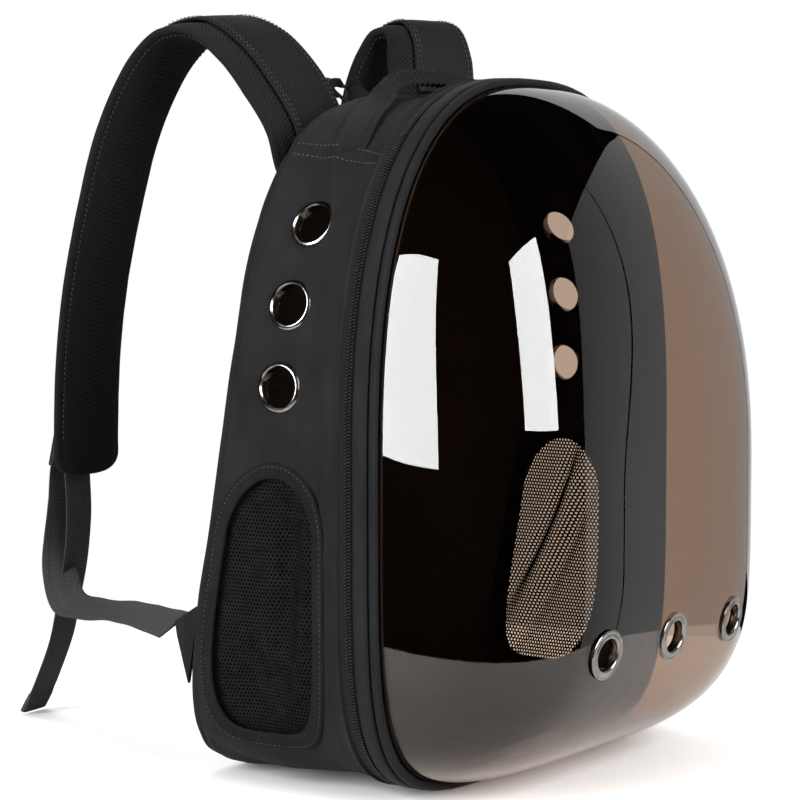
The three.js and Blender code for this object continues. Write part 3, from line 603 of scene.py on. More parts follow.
def moulded(name, colour, rough=0.38, specular=0.3):
    """Moulded plastic with a fine grain."""
    nodes = Nodes(name)
    place = nodes.place()
    grain = nodes.noise(place, 1800, 2.0, 0.6)
    wear = nodes.noise(place, 120, 3.0, 0.6)
    nodes.bumps((grain, 0.2, 0.0002))
    nodes.shade(nodes.ramp(wear, 0.35, 0.7), scaled(colour, 0.8), scaled(colour, 1.5))
    return nodes.set(rough=rough, specular=specular)


def plated(name, colour):
    """Dark nickel plate with fine wear."""
    nodes = Nodes(name)
    place = nodes.place()
    wear = nodes.noise(place, 900, 4.0, 0.65)
    tarnish = nodes.noise(place, 140, 3.0, 0.6)
    nodes.bumps((wear, 0.12, 0.0002))
    nodes.shade(nodes.ramp(tarnish, 0.35, 0.7), scaled(colour, 0.65), scaled(colour, 1.35))
    nodes.tree.links.new(nodes.ramp(wear, 0.3, 0.8, 0.14, 0.3), nodes.shader.inputs["Roughness"])
    return nodes.set(metal=1.0)


def smoked(name, colour):
    """Clear tinted plastic; its shadow lets tinted light through."""
    nodes = Nodes(name)
    place = nodes.place()
    ripple = nodes.noise(place, 9, 1.0, 0.4)
    nodes.bumps((ripple, 0.03, 0.002))
    nodes.shade(nodes.ramp(ripple, 0.3, 0.7), scaled(colour, 0.985), scaled(colour, 1.015))
    nodes.set(clear=1.0, ior=1.46, rough=0.0, specular=0.5)
    shadow = nodes.node("ShaderNodeBsdfTransparent", {"Color": (*scaled(colour, 0.95), 1)})
    path = nodes.node("ShaderNodeLightPath")
    shown = (path.outputs["Is Shadow Ray"], nodes.shader.outputs[0], shadow.outputs[0])
    blend = nodes.node("ShaderNodeMixShader", dict(enumerate(shown)))
    nodes.tree.links.new(blend.outputs[0], nodes.output.inputs["Surface"])
    return nodes.material


def painted_floor(name, colour):
    """A pale matt table top."""
    nodes = Nodes(name)
    place = nodes.place()
    cloud = nodes.noise(place, 0.7, 2.0, 0.5)
    nodes.shade(cloud, scaled(colour, 0.99), scaled(colour, 1.01))
    return nodes.set(rough=0.7, specular=0.2)


def finish_of(kind):
    """The material of that kind, made once."""
    name = "carrier_" + kind
    if name in bpy.data.materials:
        return bpy.data.materials[name]
    colours = bpy.context.scene.carrier_colours
    makers = {
        "cloth": lambda: woven(name, colours.cloth),
        "binding": lambda: ribbed(name, scaled(colours.cloth, 0.65), pitch=1.1, slant=20, strength=0.35),
        "smooth_band": lambda: woven(name, scaled(colours.cloth, 0.95), pitch=0.6, rough=0.5),
        "webbing": lambda: ribbed(name, colours.webbing),
        "band": lambda: ribbed(name, scaled(colours.webbing, 0.9), pitch=1.3, slant=43, strength=0.35),
        "tail": lambda: ribbed(name, scaled(colours.webbing, 4.2)),
        "tape": lambda: ribbed(name, colours.cloth, pitch=0.9, slant=2, strength=0.5),
        "spacer": lambda: spacer(name, colours.padding),
        "net": lambda: moulded(name, scaled(colours.cloth, 0.6), rough=0.7, specular=0.03),
        "plastic": lambda: moulded(name, scaled(colours.cloth, 0.9)),
        "teeth": lambda: moulded(name, scaled(colours.cloth, 0.8), rough=0.5, specular=0.12),
        "thread": lambda: moulded(name, scaled(colours.webbing, 3.0), rough=0.6, specular=0.15),
        "smoke": lambda: smoked(name, colours.smoke),
        "nickel": lambda: plated(name, colours.nickel),
        "floor": lambda: painted_floor(name, colours.floor),
    }
    return makers[kind]()


# ---- shared small pieces


class Repeats:
    """Copies one small shape many times into a single mesh."""

    def __init__(self, u_segments, v_segments):
        bm = fresh_mesh()
        bmesh.ops.create_uvsphere(bm, u_segments=u_segments, v_segments=v_segments, radius=1)
        self.shape = bpy.data.meshes.new("shape")
        bm.to_mesh(self.shape)
        bm.free()
        self.whole = fresh_mesh()

    def add(self, centre, axes, sizes):
        """Adds the shape at a place in the frame, its axes turned and its sizes in millimetres."""
        turn = Matrix(axes).transposed().to_4x4()
        size = Matrix.Diagonal((*(value * MM for value in sizes), 1))
        matrix = Matrix.Translation(centre) @ turn @ size
        self.shape.transform(matrix)
        self.whole.from_mesh(self.shape)
        self.shape.transform(matrix.inverted())

    def done(self):
        bpy.data.meshes.remove(self.shape)
        bmesh.ops.recalc_face_normals(self.whole, faces=self.whole.faces)
        return self.whole


def stitch_row(form, name, spots, length, thread):
    """Short raised stitches; each spot is (place, along, normal) in millimetres."""
    stitches = Repeats(6, 4)
    for spot, along, normal in spots:
        along = along.normalized()
        across = normal.cross(along).normalized()
        up = along.cross(across).normalized()
        sizes = (length / 2, thread, thread * 0.7)
        stitches.add(form.at(*(spot + up * 0.1)), (along, across, up), sizes)
    add_piece(stitches.done(), name, "thread", (), 80)


def path_spots(places, pitch):
    """Evenly spaced (place, along, normal) rows on a line of (place, normal) rows."""
    spots = []
    left = pitch / 2
    for (a, normal), (b, _) in zip(places, places[1:]):
        length = (b - a).length
        if length < 1e-6:
            continue
        while left <= length:
            spots.append((a.lerp(b, left / length), b - a, normal))
            left += pitch
        left -= length
    return spots


# ---- pieces


class CARRIER_OT_stage(bpy.types.Operator):
    """Make the floor, the lights and the camera."""

    bl_idname = "carrier.stage"
    bl_label = "Stage"

    def execute(self, context):
        scene = context.scene
        floor = add_object(sheet_mesh(96, 24, self.floor_point, (1000, 1000)), "floor", "floor")

        scene.world = self.studio_world()
        for name, place, face, size, power in STUDIO_LIGHTS:
            light = bpy.data.lights.new(name, "AREA")
            light.shape = "RECTANGLE"
            light.size, light.size_y = size
            light.energy = power
            lamp = bpy.data.objects.new(name, light)
            lamp.location = place
            lamp.rotation_euler = Vector(face).to_track_quat("-Z", "Y").to_euler()
            lamp.visible_camera = False
            lamp.visible_transmission = False
            lamp.visible_glossy = name != "softbox_top"
            scene.collection.objects.link(lamp)

        lens = bpy.data.cameras.new("camera")
        lens.sensor_width = 36
        lens.lens = 107.6
        lens.clip_end = 60
        camera = bpy.data.objects.new("camera", lens)
        camera.location = CAMERA_PLACE
        camera.rotation_euler = Vector(CAMERA_LOOK).to_track_quat("-Z", "Y").to_euler()
        scene.collection.objects.link(camera)
        scene.camera = camera
        scene.view_settings.view_transform = "Standard"
        return {"FINISHED"}

    def studio_world(self):
        """A white backdrop in a dark room: what shines mirrors only the lights."""
        world = bpy.data.worlds.new("studio")
        world.use_nodes = True
        nodes, links = world.node_tree.nodes, world.node_tree.links
        white, dim = nodes["Background"], nodes.new("ShaderNodeBackground")
        for backdrop, strength in ((white, 1.0), (dim, 0.004)):
            backdrop.inputs["Color"].default_value = (1, 1, 1, 1)
            backdrop.inputs["Strength"].default_value = strength
        path = nodes.new("ShaderNodeLightPath")
        blend = nodes.new("ShaderNodeMixShader")
        links.new(path.outputs["Glossy Depth"], blend.inputs[0])
        links.new(white.outputs[0], blend.inputs[1])
        links.new(dim.outputs[0], blend.inputs[2])
        links.new(blend.outputs[0], nodes["World Output"].inputs["Surface"])
        return world

    def floor_point(self, u, v):
        """A round table top."""
        c, s = ring(u)
        return Vector((c, s, 0)) * FLOOR_REACH * v


CAMERA_PLACE = (-1.2642, -0.9299, 0.3407)
CAMERA_LOOK = (0.8132, 0.5773, -0.0732)
FLOOR_REACH = 0.47
STUDIO_LIGHTS = [
    # name, place, the way it faces, (width, height) in metres, power in watts
    ("softbox_left", (-2.1, 0.48, 0.84), (1, 0, 0), (1.25, 1.65), 150),
    ("softbox_front", (-0.56, -2.2, 1.2), (0.08, 1, 0.05), (1.25, 1.85), 170),
    ("panel_right", (1.34, -1.799, 0.4), (-1, 0.68, 0), (0.947, 2.7), 5.8),
    ("panel_far_right", (2.022, -0.803, 0.4), (-1, 0.68, 0), (1.435, 2.7), 8.8),
    ("backdrop", (1.7, 1.3, 0.9), (-1, -0.72, 0), (3.6, 2.4), 26),
    ("softbox_top", (0.35, 0.5, 2.4), (-0.1, -0.2, -1), (1.4, 1.4), 40),
]


class CARRIER_OT_dome(bpy.types.Operator):
    """Make the clear dome and the three eyelets in its lower front."""

    bl_idname = "carrier.dome"
    bl_label = "Dome"

    def execute(self, context):
        form = Form(context)
        wall = context.scene.carrier_sizes.dome_wall
        collar = 0.08  # share of the rows that runs straight back into the front edge

        def place(u, v):
            angle = form.turn(u)
            if v < collar:
                back = form.dome(angle, 0, 0)
                back.y = 12 * (1 - v / collar)
                return form.at(*back)
            narrowed = math.cos((v - collar) / (1 - collar) * math.pi / 2)
            forward = (1 - narrowed**5) ** (1 / DOME_POWER) if v < 1 else 1
            return form.at(*form.dome(angle, forward, 0))

        bm = sheet_mesh(260, 75, place, (form.perimeter, 260))
        bmesh.ops.recalc_face_normals(bm, faces=bm.faces)
        if sum(face.normal.y for face in bm.faces) > 0:
            bmesh.ops.reverse_faces(bm, faces=bm.faces)
        thicken(bm, wall)
        shell = add_piece(bm, "dome_shell", "smoke", ("dome",), 50)
        tools = []
        for name, degrees, forward in DOME_VENTS:
            turn, step = math.radians(degrees), 0.01
            centre = form.dome(turn, forward, 0)
            sideways = form.dome(turn + step, forward, 0) - form.dome(turn - step, forward, 0)
            along = form.dome(turn, forward + step, 0) - form.dome(turn, forward - step, 0)
            normal = sideways.cross(along).normalized()
            if normal.y > 0:
                normal.negate()
            tools.append(drill(form, centre, normal, 10.2))
            names = "dome_eyelet_ring_" + name, "dome_eyelet_" + name
            eyelet(form, *names, centre, normal, DOME_EYELET)
        cut_from(shell, tools)
        return {"FINISHED"}


# The dome's vents: name, degrees round the dome and share of its way forward
DOME_VENTS = [("left", -125.9, 0.959), ("centre", -90, 0.971), ("right", -54.1, 0.959)]

# Sections of the pressed rings: radius and height over the surface, in millimetres
DOME_EYELET = [
    (9.6, -4.4), (9.9, -4.9), (10.6, -4.7), (10.3, -3.0), (10.1, -2.6), (10.1, 0.3),
    (13.9, 0.35), (14.9, 0.55), (15.1, 0.85), (14.7, 1.25), (13.9, 1.2), (13.2, 0.95),
    (11.9, 1.35), (10.8, 1.6), (10.1, 1.35), (9.75, 0.6), (9.65, -1.0),
]  # fmt: skip
SIDE_EYELET = [
    (11.9, -4.4), (12.3, -5.0), (13.1, -4.8), (12.7, -3.4), (12.4, -3.0), (12.4, 0.4),
    (14.3, 0.5), (14.8, 0.8), (14.9, 1.2), (14.5, 1.6), (13.8, 2.3), (12.9, 2.5),
    (12.1, 1.7), (11.8, 0.4), (11.8, -1.5),
]  # fmt: skip


def facing(centre, normal, form):
    turn = Vector((0, 0, 1)).rotation_difference(normal).to_matrix().to_4x4()
    return Matrix.Translation(form.at(*centre)) @ turn


def drill(form, centre, normal, radius):
    bm = bmesh.new()
    size = radius * MM
    bmesh.ops.create_cone(
        bm, cap_ends=True, segments=48, radius1=size, radius2=size, depth=40 * MM,
        matrix=facing(centre, normal, form),
    )  # fmt: skip
    return cutter(bm, "drill")


def eyelet(form, name, node, centre, normal, section):
    """A pressed ring, spun from its section of (radius, height) corners."""
    bm = fresh_mesh()
    corners = [bm.verts.new((r * MM, 0, h * MM)) for r, h in section]
    edges = [bm.edges.new((a, b)) for a, b in zip(corners, corners[1:] + corners[:1])]
    bmesh.ops.spin(
        bm, geom=corners + edges, cent=(0, 0, 0), axis=(0, 0, 1), angle=2 * math.pi, steps=56,
        use_merge=True,
    )  # fmt: skip
    bmesh.ops.remove_doubles(bm, verts=bm.verts, dist=1e-6)
    bmesh.ops.recalc_face_normals(bm, faces=bm.faces)
    bmesh.ops.transform(bm, matrix=facing(centre, normal, form), verts=bm.verts)
    add_piece(bm, name, "nickel", (node,), 50)


# Hoops round the front opening: name, finish, node, slot, then outset and depth, each as
# (middle, half, power) of the section, steps round it, and ripples of (height, count,
# level, change of level round the section)
HOOPS = [
    ("piping", "smooth_band", ("front_piping",), "cloth",
     (2.55, 2.5, 1), (1.35, 2.85, 1), 16, [(0.22, 260, 0, 0.5)]),
    ("piping_lip", "plastic", (), "cloth", (-1.2, 1.0, 1), (-1.4, 1.2, 1), 10, []),
    ("smooth_band", "smooth_band", ("front_band",), "cloth",
     (2.9, 2.5, 0.6), (9.75, 5.2, 0.45), 24, [(0.35, 90, 4, 0.4), (0.15, 420, 9, 0.8)]),
    ("zip_tape", "tape", ("zipper_tape",), "webbing", (2.85, 0.75, 0.3), (20.6, 5.15, 0.3), 20, []),
]  # fmt: skip


class CARRIER_OT_front(bpy.types.Operator):
    """Make the piping, the smooth band and the zip round the front opening."""

    bl_idname = "carrier.front"
    bl_label = "Front edge"

    def execute(self, context):
        form = Form(context)
        for name, kind, nodes, slot, rise, width, count, ripples in HOOPS:

            def place(u, v):
                c, s = ring(v)
                outset = rise[0] + rise[1] * boxy(c, rise[2])
                for height, waves, level, change in ripples:
                    outset += height * ring_noise(u, waves, level + change * c)
                x, z = form.outline(form.turn(u), outset)
                return form.at(x, width[0] + width[1] * boxy(s, width[2]), z)

            bm = sheet_mesh(420, count, place, (form.perimeter, 30))
            bmesh.ops.recalc_face_normals(bm, faces=bm.faces)
            add_piece(bm, name, kind, nodes, 50)
        self.teeth(form)
        return {"FINISHED"}

    def teeth(self, form):
        """Two rows of coil teeth that mesh in the middle of the tape."""
        rows = Repeats(7, 4)
        count = round(form.perimeter / 1.9)
        outset = 4.25
        for i in range(count * 2):
            way = 1 if i % 2 else -1
            angle = form.turn((i // 2 + i % 2 * 0.5) / count)
            x, z = form.outline(angle, outset)
            x2, z2 = form.outline(angle + 0.002, outset)
            along = Vector((x2 - x, 0, z2 - z)).normalized()
            out = Vector((along.z, 0, -along.x))
            depth = TAPE_FRONT + 3.2 + 1.15 * way
            lean = (along * 0.25 + Vector((0, way, 0))).normalized()
            cross = out.cross(lean).normalized()
            rows.add(form.at(x, depth, z), (lean, cross, out), (1.75, 0.62, 0.85))
        add_piece(rows.done(), "coil_teeth", "teeth", ("zipper_coil",), 80)


# Folds of the side cloth: depth share, height, length and width in millimetres, tilt in
# degrees from upright, and how far the cloth stands out
SIDE_FOLDS = [
    (0.42, 372, 60, 5.0, 28, 1.3),
    (0.66, 366, 46, 6.0, 52, -1.2),
    (0.30, 330, 80, 5.0, 4, 0.9),
    (0.80, 330, 90, 6.0, -6, 1.0),
    (0.36, 262, 110, 6.0, 3, 1.0),
    (0.92, 262, 90, 5.0, 2, -1.0),
    (0.50, 222, 60, 6.0, 78, 0.8),
    (0.20, 220, 120, 4.0, 0, -0.8),
    (0.12, 120, 150, 4.0, 0, 0.8),
    (0.55, 24, 60, 7.0, 84, 1.3),
    (0.80, 22, 50, 7.0, 60, -1.0),
    (0.97, 120, 120, 5.0, 0, 1.2),
]


class CARRIER_OT_body(bpy.types.Operator):
    """Make the cloth body with its seams, the side vents and the stitched shoulder seam."""

    bl_idname = "carrier.body"
    bl_label = "Cloth body"

    def execute(self, context):
        form = Form(context)

        def fold(deep, z, hand):
            depth = mix(GUSSET_FRONT, form.back_at(z), deep)
            lift = 0
            for f_deep, f_z, length, width, tilt, height in SIDE_FOLDS:
                f_depth = mix(GUSSET_FRONT, form.back_at(f_z), f_deep)
                lean = math.radians(tilt + 7 * max(hand, 0))
                du, dz = depth - f_depth, z - f_z
                along = dz * math.cos(lean) + du * math.sin(lean)
                across = du * math.cos(lean) - dz * math.sin(lean)
                lift += height * bump_at(along, 0, length / 2) * bump_at(across, 0, width)
            return lift

        def place(u, v):
            angle = form.turn(u)
            z0 = form.outline(angle, 0)[1]
            soft = 0.9 * ring_noise(u, 34, v * 4.5 + 2) + 0.3 * ring_noise(u, 90, v * 9 + 7)
            fade = min(v / 0.06, 1) * min((1 - v) / 0.05, 1)
            lift = (soft * 1.3 + fold(v, z0, math.cos(angle)) * 1.7) * fade
            depth = mix(GUSSET_FRONT, form.back_at(z0), v)
            if z0 > 320:
                lift -= 1.5 * bump_at(z0, shoulder_seam(depth), 3) * fade
                lift += 0.8 * bump_at(z0, shoulder_seam(depth) + 7, 4) * fade
            lift -= 1.2 * bump_at(v, 0.93, 0.016)
            spot = form.around(u, v, lift)
            spot.z = max(spot.z, 0)
            return form.at(*spot)

        bm = sheet_mesh(520, 72, place, (form.perimeter, 130))
        bmesh.ops.recalc_face_normals(bm, faces=bm.faces)
        upper = [face for face in bm.faces if face.calc_center_median().z > 0.4]
        if sum(face.normal.z for face in upper) < 0:
            bmesh.ops.reverse_faces(bm, faces=bm.faces)
        self.seam_stitches(form, BVHTree.FromBMesh(bm))
        thicken(bm, form.wall * MM)
        body = add_piece(bm, "cloth_body", "cloth", ("gusset",), 50)
        tools = []
        for hand, side in SIDES:
            tools.append(self.window_cutter(form, hand))
            for level, deep, up in SIDE_VENTS:
                z = LOWEST + up * form.height
                depth = deep * form.top_depth
                centre, normal = form.side(hand, depth, z), form.side_normal(hand, depth, z)
                tools.append(drill(form, centre, normal, 12.9))
                names = f"{side}_eyelet_ring_{level}", f"{side}_eyelet_{level}"
                eyelet(form, *names, centre, normal, SIDE_EYELET)
        cut_from(body, tools)
        return {"FINISHED"}

    def seam_stitches(self, form, cloth):
        """Two rows of stitches beside each shoulder seam, laid on the cloth."""
        spots = []
        for hand, _ in SIDES:
            for offset in (-3.4, 2.4):
                row = []
                for i in range(60):
                    depth = mix(30, 101, i / 59)
                    z = shoulder_seam(depth) + offset
                    normal = form.side_normal(hand, depth, z)
                    start = form.over_side(hand, depth, z, 12)
                    hit = cloth.ray_cast(start, -normal, 0.03)[0]
                    if hit:
                        row.append(((hit - form.shift) / MM, normal))
                spots += path_spots(row, 3.4)
        stitch_row(form, "shoulder_stitches", spots, 2.7, 0.55)

    def window_cutter(self, form, hand):
        corners = []
        for i in range(96):
            depth, z = form.window(i * 2 * math.pi / 96, -BINDING_HALF)
            corners.append(form.at(hand * (form.half * 0.7), depth, z))
        bm = thick_face(corners, (hand * 0.1, 0, 0))
        return cutter(bm, "window_cutter")


def shoulder_seam(depth):
    """The height of the shoulder seam across the body's side."""
    return 379 + 8 * (depth - 26) / 72


SIDE_VENTS = [("upper", 0.586, 0.7976), ("middle", 0.63, 0.6857), ("lower", 0.659, 0.5714)]


# Folds of the left net: depth in millimetres, then place and spread as shares of the
# window's width, and of its height
NET_FOLDS = [(11, 0.58, 0.2, 0.16, 0.15), (6, 0.38, 0.1, 0.6, 0.34), (3, 0.08, 0.08, 0.45, 0.5)]


class CARRIER_OT_windows(bpy.types.Operator):
    """Make the two net windows and their bound edges."""

    bl_idname = "carrier.windows"
    bl_label = "Net windows"

    def execute(self, context):
        form = Form(context)
        cell = context.scene.carrier_sizes.net_cell / MM
        for hand, side in SIDES:
            self.net(form, hand, side, cell)
            self.binding(form, hand, side)
        return {"FINISHED"}

    def sag(self, form, hand, depth, z):
        """How far the net hangs in or, below nought, stands out."""
        across = (depth - WINDOW_FRONT) / (form.back_at(z) - WINDOW_BACK - WINDOW_FRONT)
        up = (z - WINDOW_MIDDLE + WINDOW_DOWN) / (WINDOW_UP + WINDOW_DOWN)
        bend = 0.2 + 0.5 * (up - 0.62) ** 2
        sink = -4 * bump_at(across, bend, 0.07) * bump_at(up, 0.5, 0.42)
        for height, place, spread, level, reach in NET_FOLDS:
            sink += height * bump_at(across, place, spread) * bump_at(up, level, reach)
        if hand > 0:
            off = across - 0.12 - 0.8 * (0.97 - up)
            sink = 8 * bump_at(off, 0, 0.09)
            sink -= 6 * bump_at(off, 0.17, 0.06) + 4 * bump_at(off, -0.16, 0.06)
        return sink + 1.2 * noise.noise(Vector((across * 2.5, up * 4, hand)))

    def net(self, form, hand, side, cell):
        bm = fresh_mesh()
        rise = cell * 0.96
        low, high = 24, 204
        front, back = 30, 160
        across, up = round((back - front) / (cell / 2)), round((high - low) / rise)
        bmesh.ops.create_grid(bm, x_segments=across, y_segments=up, size=0.5)
        bm.verts.ensure_lookup_table()
        where = {}
        for vert in bm.verts:
            i, j = round((vert.co.x + 0.5) * across), round((vert.co.y + 0.5) * up)
            where[vert] = (i, j)
            zigzag = rise / 6 * (1 if (i + j) % 2 else -1)
            vert.co = (front + i * cell / 2, low + j * rise + zigzag, 0)
        spare = []
        for edge in bm.edges:
            (i0, j0), (i1, j1) = where[edge.verts[0]], where[edge.verts[1]]
            if i0 == i1 and (i0 + min(j0, j1)) % 2 == 0 and not edge.is_boundary:
                spare.append(edge)
        bmesh.ops.dissolve_edges(bm, edges=spare, use_verts=False)

        def inside(face):
            centre = face.calc_center_median()
            return self.margin(form, centre.x, centre.y) > 1.5

        bmesh.ops.delete(bm, geom=[face for face in bm.faces if not inside(face)], context="FACES")
        cells = bm.faces[:]
        bmesh.ops.inset_individual(bm, faces=cells, thickness=0.52, use_even_offset=True)
        bmesh.ops.delete(bm, geom=cells, context="FACES_ONLY")
        for vert in bm.verts:
            depth, z = vert.co.x, vert.co.y
            margin = self.margin(form, depth, z)
            normal = form.side_normal(hand, depth, z)
            sag = self.sag(form, hand, depth, z) * min(max(margin / 26, 0), 1)
            spot = form.side(hand, depth, z) - normal * (3.6 + sag)
            vert.co = form.at(*spot)
        bmesh.ops.recalc_face_normals(bm, faces=bm.faces)
        thicken(bm, 0.0004)
        add_piece(bm, side + "_net", "net", (side + "_window_mesh",), 70)

    def margin(self, form, depth, z):
        """How far a place lies inside the window's edge, roughly."""
        back = form.back_at(z) - WINDOW_BACK
        middle, half = (WINDOW_FRONT + back) / 2, (back - WINDOW_FRONT) / 2
        dz = z - WINDOW_MIDDLE
        tall, power = (WINDOW_UP, 2) if dz >= 0 else (WINDOW_DOWN, 4)
        reach = (abs((depth - middle) / half) ** power + abs(dz / tall) ** power) ** (1 / power)
        return (1 - reach) * min(half, tall)

    def binding(self, form, hand, side):
        def place(u, v):
            c, s = ring(v)
            depth, z = form.window(u * 2 * math.pi, BINDING_WIDE * boxy(c, 0.6) - BINDING_HALF)
            height = 0.6 + 1.35 * boxy(s, 0.8) + 0.25 * ring_noise(u, 60, hand + 0.4 * c)
            return form.over_side(hand, depth, z, height + GAP)

        bm = sheet_mesh(220, 18, place, (460, 22))
        bmesh.ops.recalc_face_normals(bm, faces=bm.faces)
        add_piece(bm, side + "_window_edge", "binding", (side + "_window_binding",), 60)
        places = []
        for i in range(241):
            depth, z = form.window(i * 2 * math.pi / 240, -2.2)
            normal = form.side_normal(hand, depth, z)
            places.append((form.side(hand, depth, z) + normal * 2.2, normal))
        stitch_row(form, side + "_window_stitches", path_spots(places, 3.2), 2.2, 0.32)


class CARRIER_OT_back(bpy.types.Operator):
    """Make the padded back panel."""

    bl_idname = "carrier.back"
    bl_label = "Back panel"

    def execute(self, context):
        form = Form(context)

        def edge(angle):
            level = form.outline(angle, -6)[1]
            return form.outline(angle, form.outset_at(1, level) - 2.6 - GAP)

        def place(u, v):
            angle = form.turn(u)
            x, z = edge(angle)
            turn = v * math.pi
            share = math.sin(turn) ** 0.35 if 0 < v < 1 else 0
            x, z = x * share, mix(WIDEST_UP, z, share)
            if v > 0.5:
                rim = 1.4 * bump_at(share, 1, 0.02)
                channel = 0
                for way, _ in SIDES:
                    channel += 1.6 * bump_at(x, way * 22, 5) * min(max((0.86 - share) / 0.1, 0), 1)
                return form.at(x, form.panel_face(x, z) - rim - channel, z)
            return form.at(x, form.back_at(z) - 13, z)

        bm = sheet_mesh(300, 90, place, (form.perimeter, 400))
        uv = bm.loops.layers.uv.active
        for face in bm.faces:
            for loop in face.loops:
                loop[uv].uv = (loop.vert.co.x / MM, loop.vert.co.z / MM)
        bmesh.ops.recalc_face_normals(bm, faces=bm.faces)
        panel = add_piece(bm, "back_padding", "spacer", ("back_panel",), 60)
        return {"FINISHED"}


# Shoulder strap routes: how far out behind the root, the rise to the arch or the drop
# from it, as shares, and the twist in degrees
LEFT_ROUTE = [
    (0, ("rise", 0), 0), (0.052, ("rise", 0.177), 6), (0.081, ("rise", 0.407), 12),
    (0.167, ("rise", 0.655), 17), (0.287, ("rise", 0.876), 14), (0.425, ("rise", 1), 6),
    (0.554, ("drop", 0.011), 0), (0.655, ("drop", 0.063), 0), (0.751, ("drop", 0.158), 0),
    (0.819, ("drop", 0.257), 0), (0.861, ("drop", 0.345), 0), (0.949, ("drop", 0.581), 0),
    (0.988, ("drop", 0.775), 0), (1, ("drop", 0.968), 0), (1, ("drop", 1), 0),
]  # fmt: skip
RIGHT_ROUTE = [
    (0, ("rise", 0), 0), (0.04, ("rise", 0.307), 4), (0.057, ("rise", 0.57), 21),
    (0.093, ("rise", 0.807), 28), (0.151, ("rise", 0.96), 18), (0.268, ("rise", 1.025), 2),
    (0.421, ("rise", 1), -2), (0.547, ("drop", 0.03), 0), (0.662, ("drop", 0.08), 0),
    (0.749, ("drop", 0.15), 0), (0.835, ("drop", 0.257), 0), (0.903, ("drop", 0.387), 0),
    (0.966, ("drop", 0.56), 0), (1, ("drop", 0.763), 0), (1, ("drop", 1), 0),
]  # fmt: skip
STRAP_APART = 62  # from the body's middle to a strap's
PAD_WIDTH = 62
PAD_BULK = 8.6
PAD_END = 13.6
PAD_ENDINGS = 12
BAND_WIDTH = 43
BAND_BULK = 3.8
STRAP_BULK = PAD_BULK + 0.7 + BAND_BULK
PAD_SINK = (STRAP_BULK - PAD_BULK) / 2
BAND_RAISE = (STRAP_BULK - BAND_BULK) / 2
STRAP_ROOT = 350
STRAP_RISE = 113


def strap_route(form, hand, swing, drop, rows):
    face = form.panel_face(STRAP_APART - PAD_WIDTH / 2, LOWEST + STRAP_ROOT)
    root = face + GAP + PAD_BULK / 2 - PAD_SINK
    arch = LOWEST + STRAP_ROOT + STRAP_RISE
    places = []
    for out, (way, share), _ in rows:
        fall = share * drop if way == "drop" else (1 - share) * STRAP_RISE
        places.append((hand * STRAP_APART, root + out * swing, arch - fall))

    def widthwise(position, along):
        turn = math.radians(between(rows, 2, position))
        return Matrix.Rotation(-turn, 3, along) @ Vector((1, 0, 0))

    return Route(places, widthwise)


STRAPS = [("left", -1, 209, 284, LEFT_ROUTE), ("right", 1, 82, 346, RIGHT_ROUTE)]


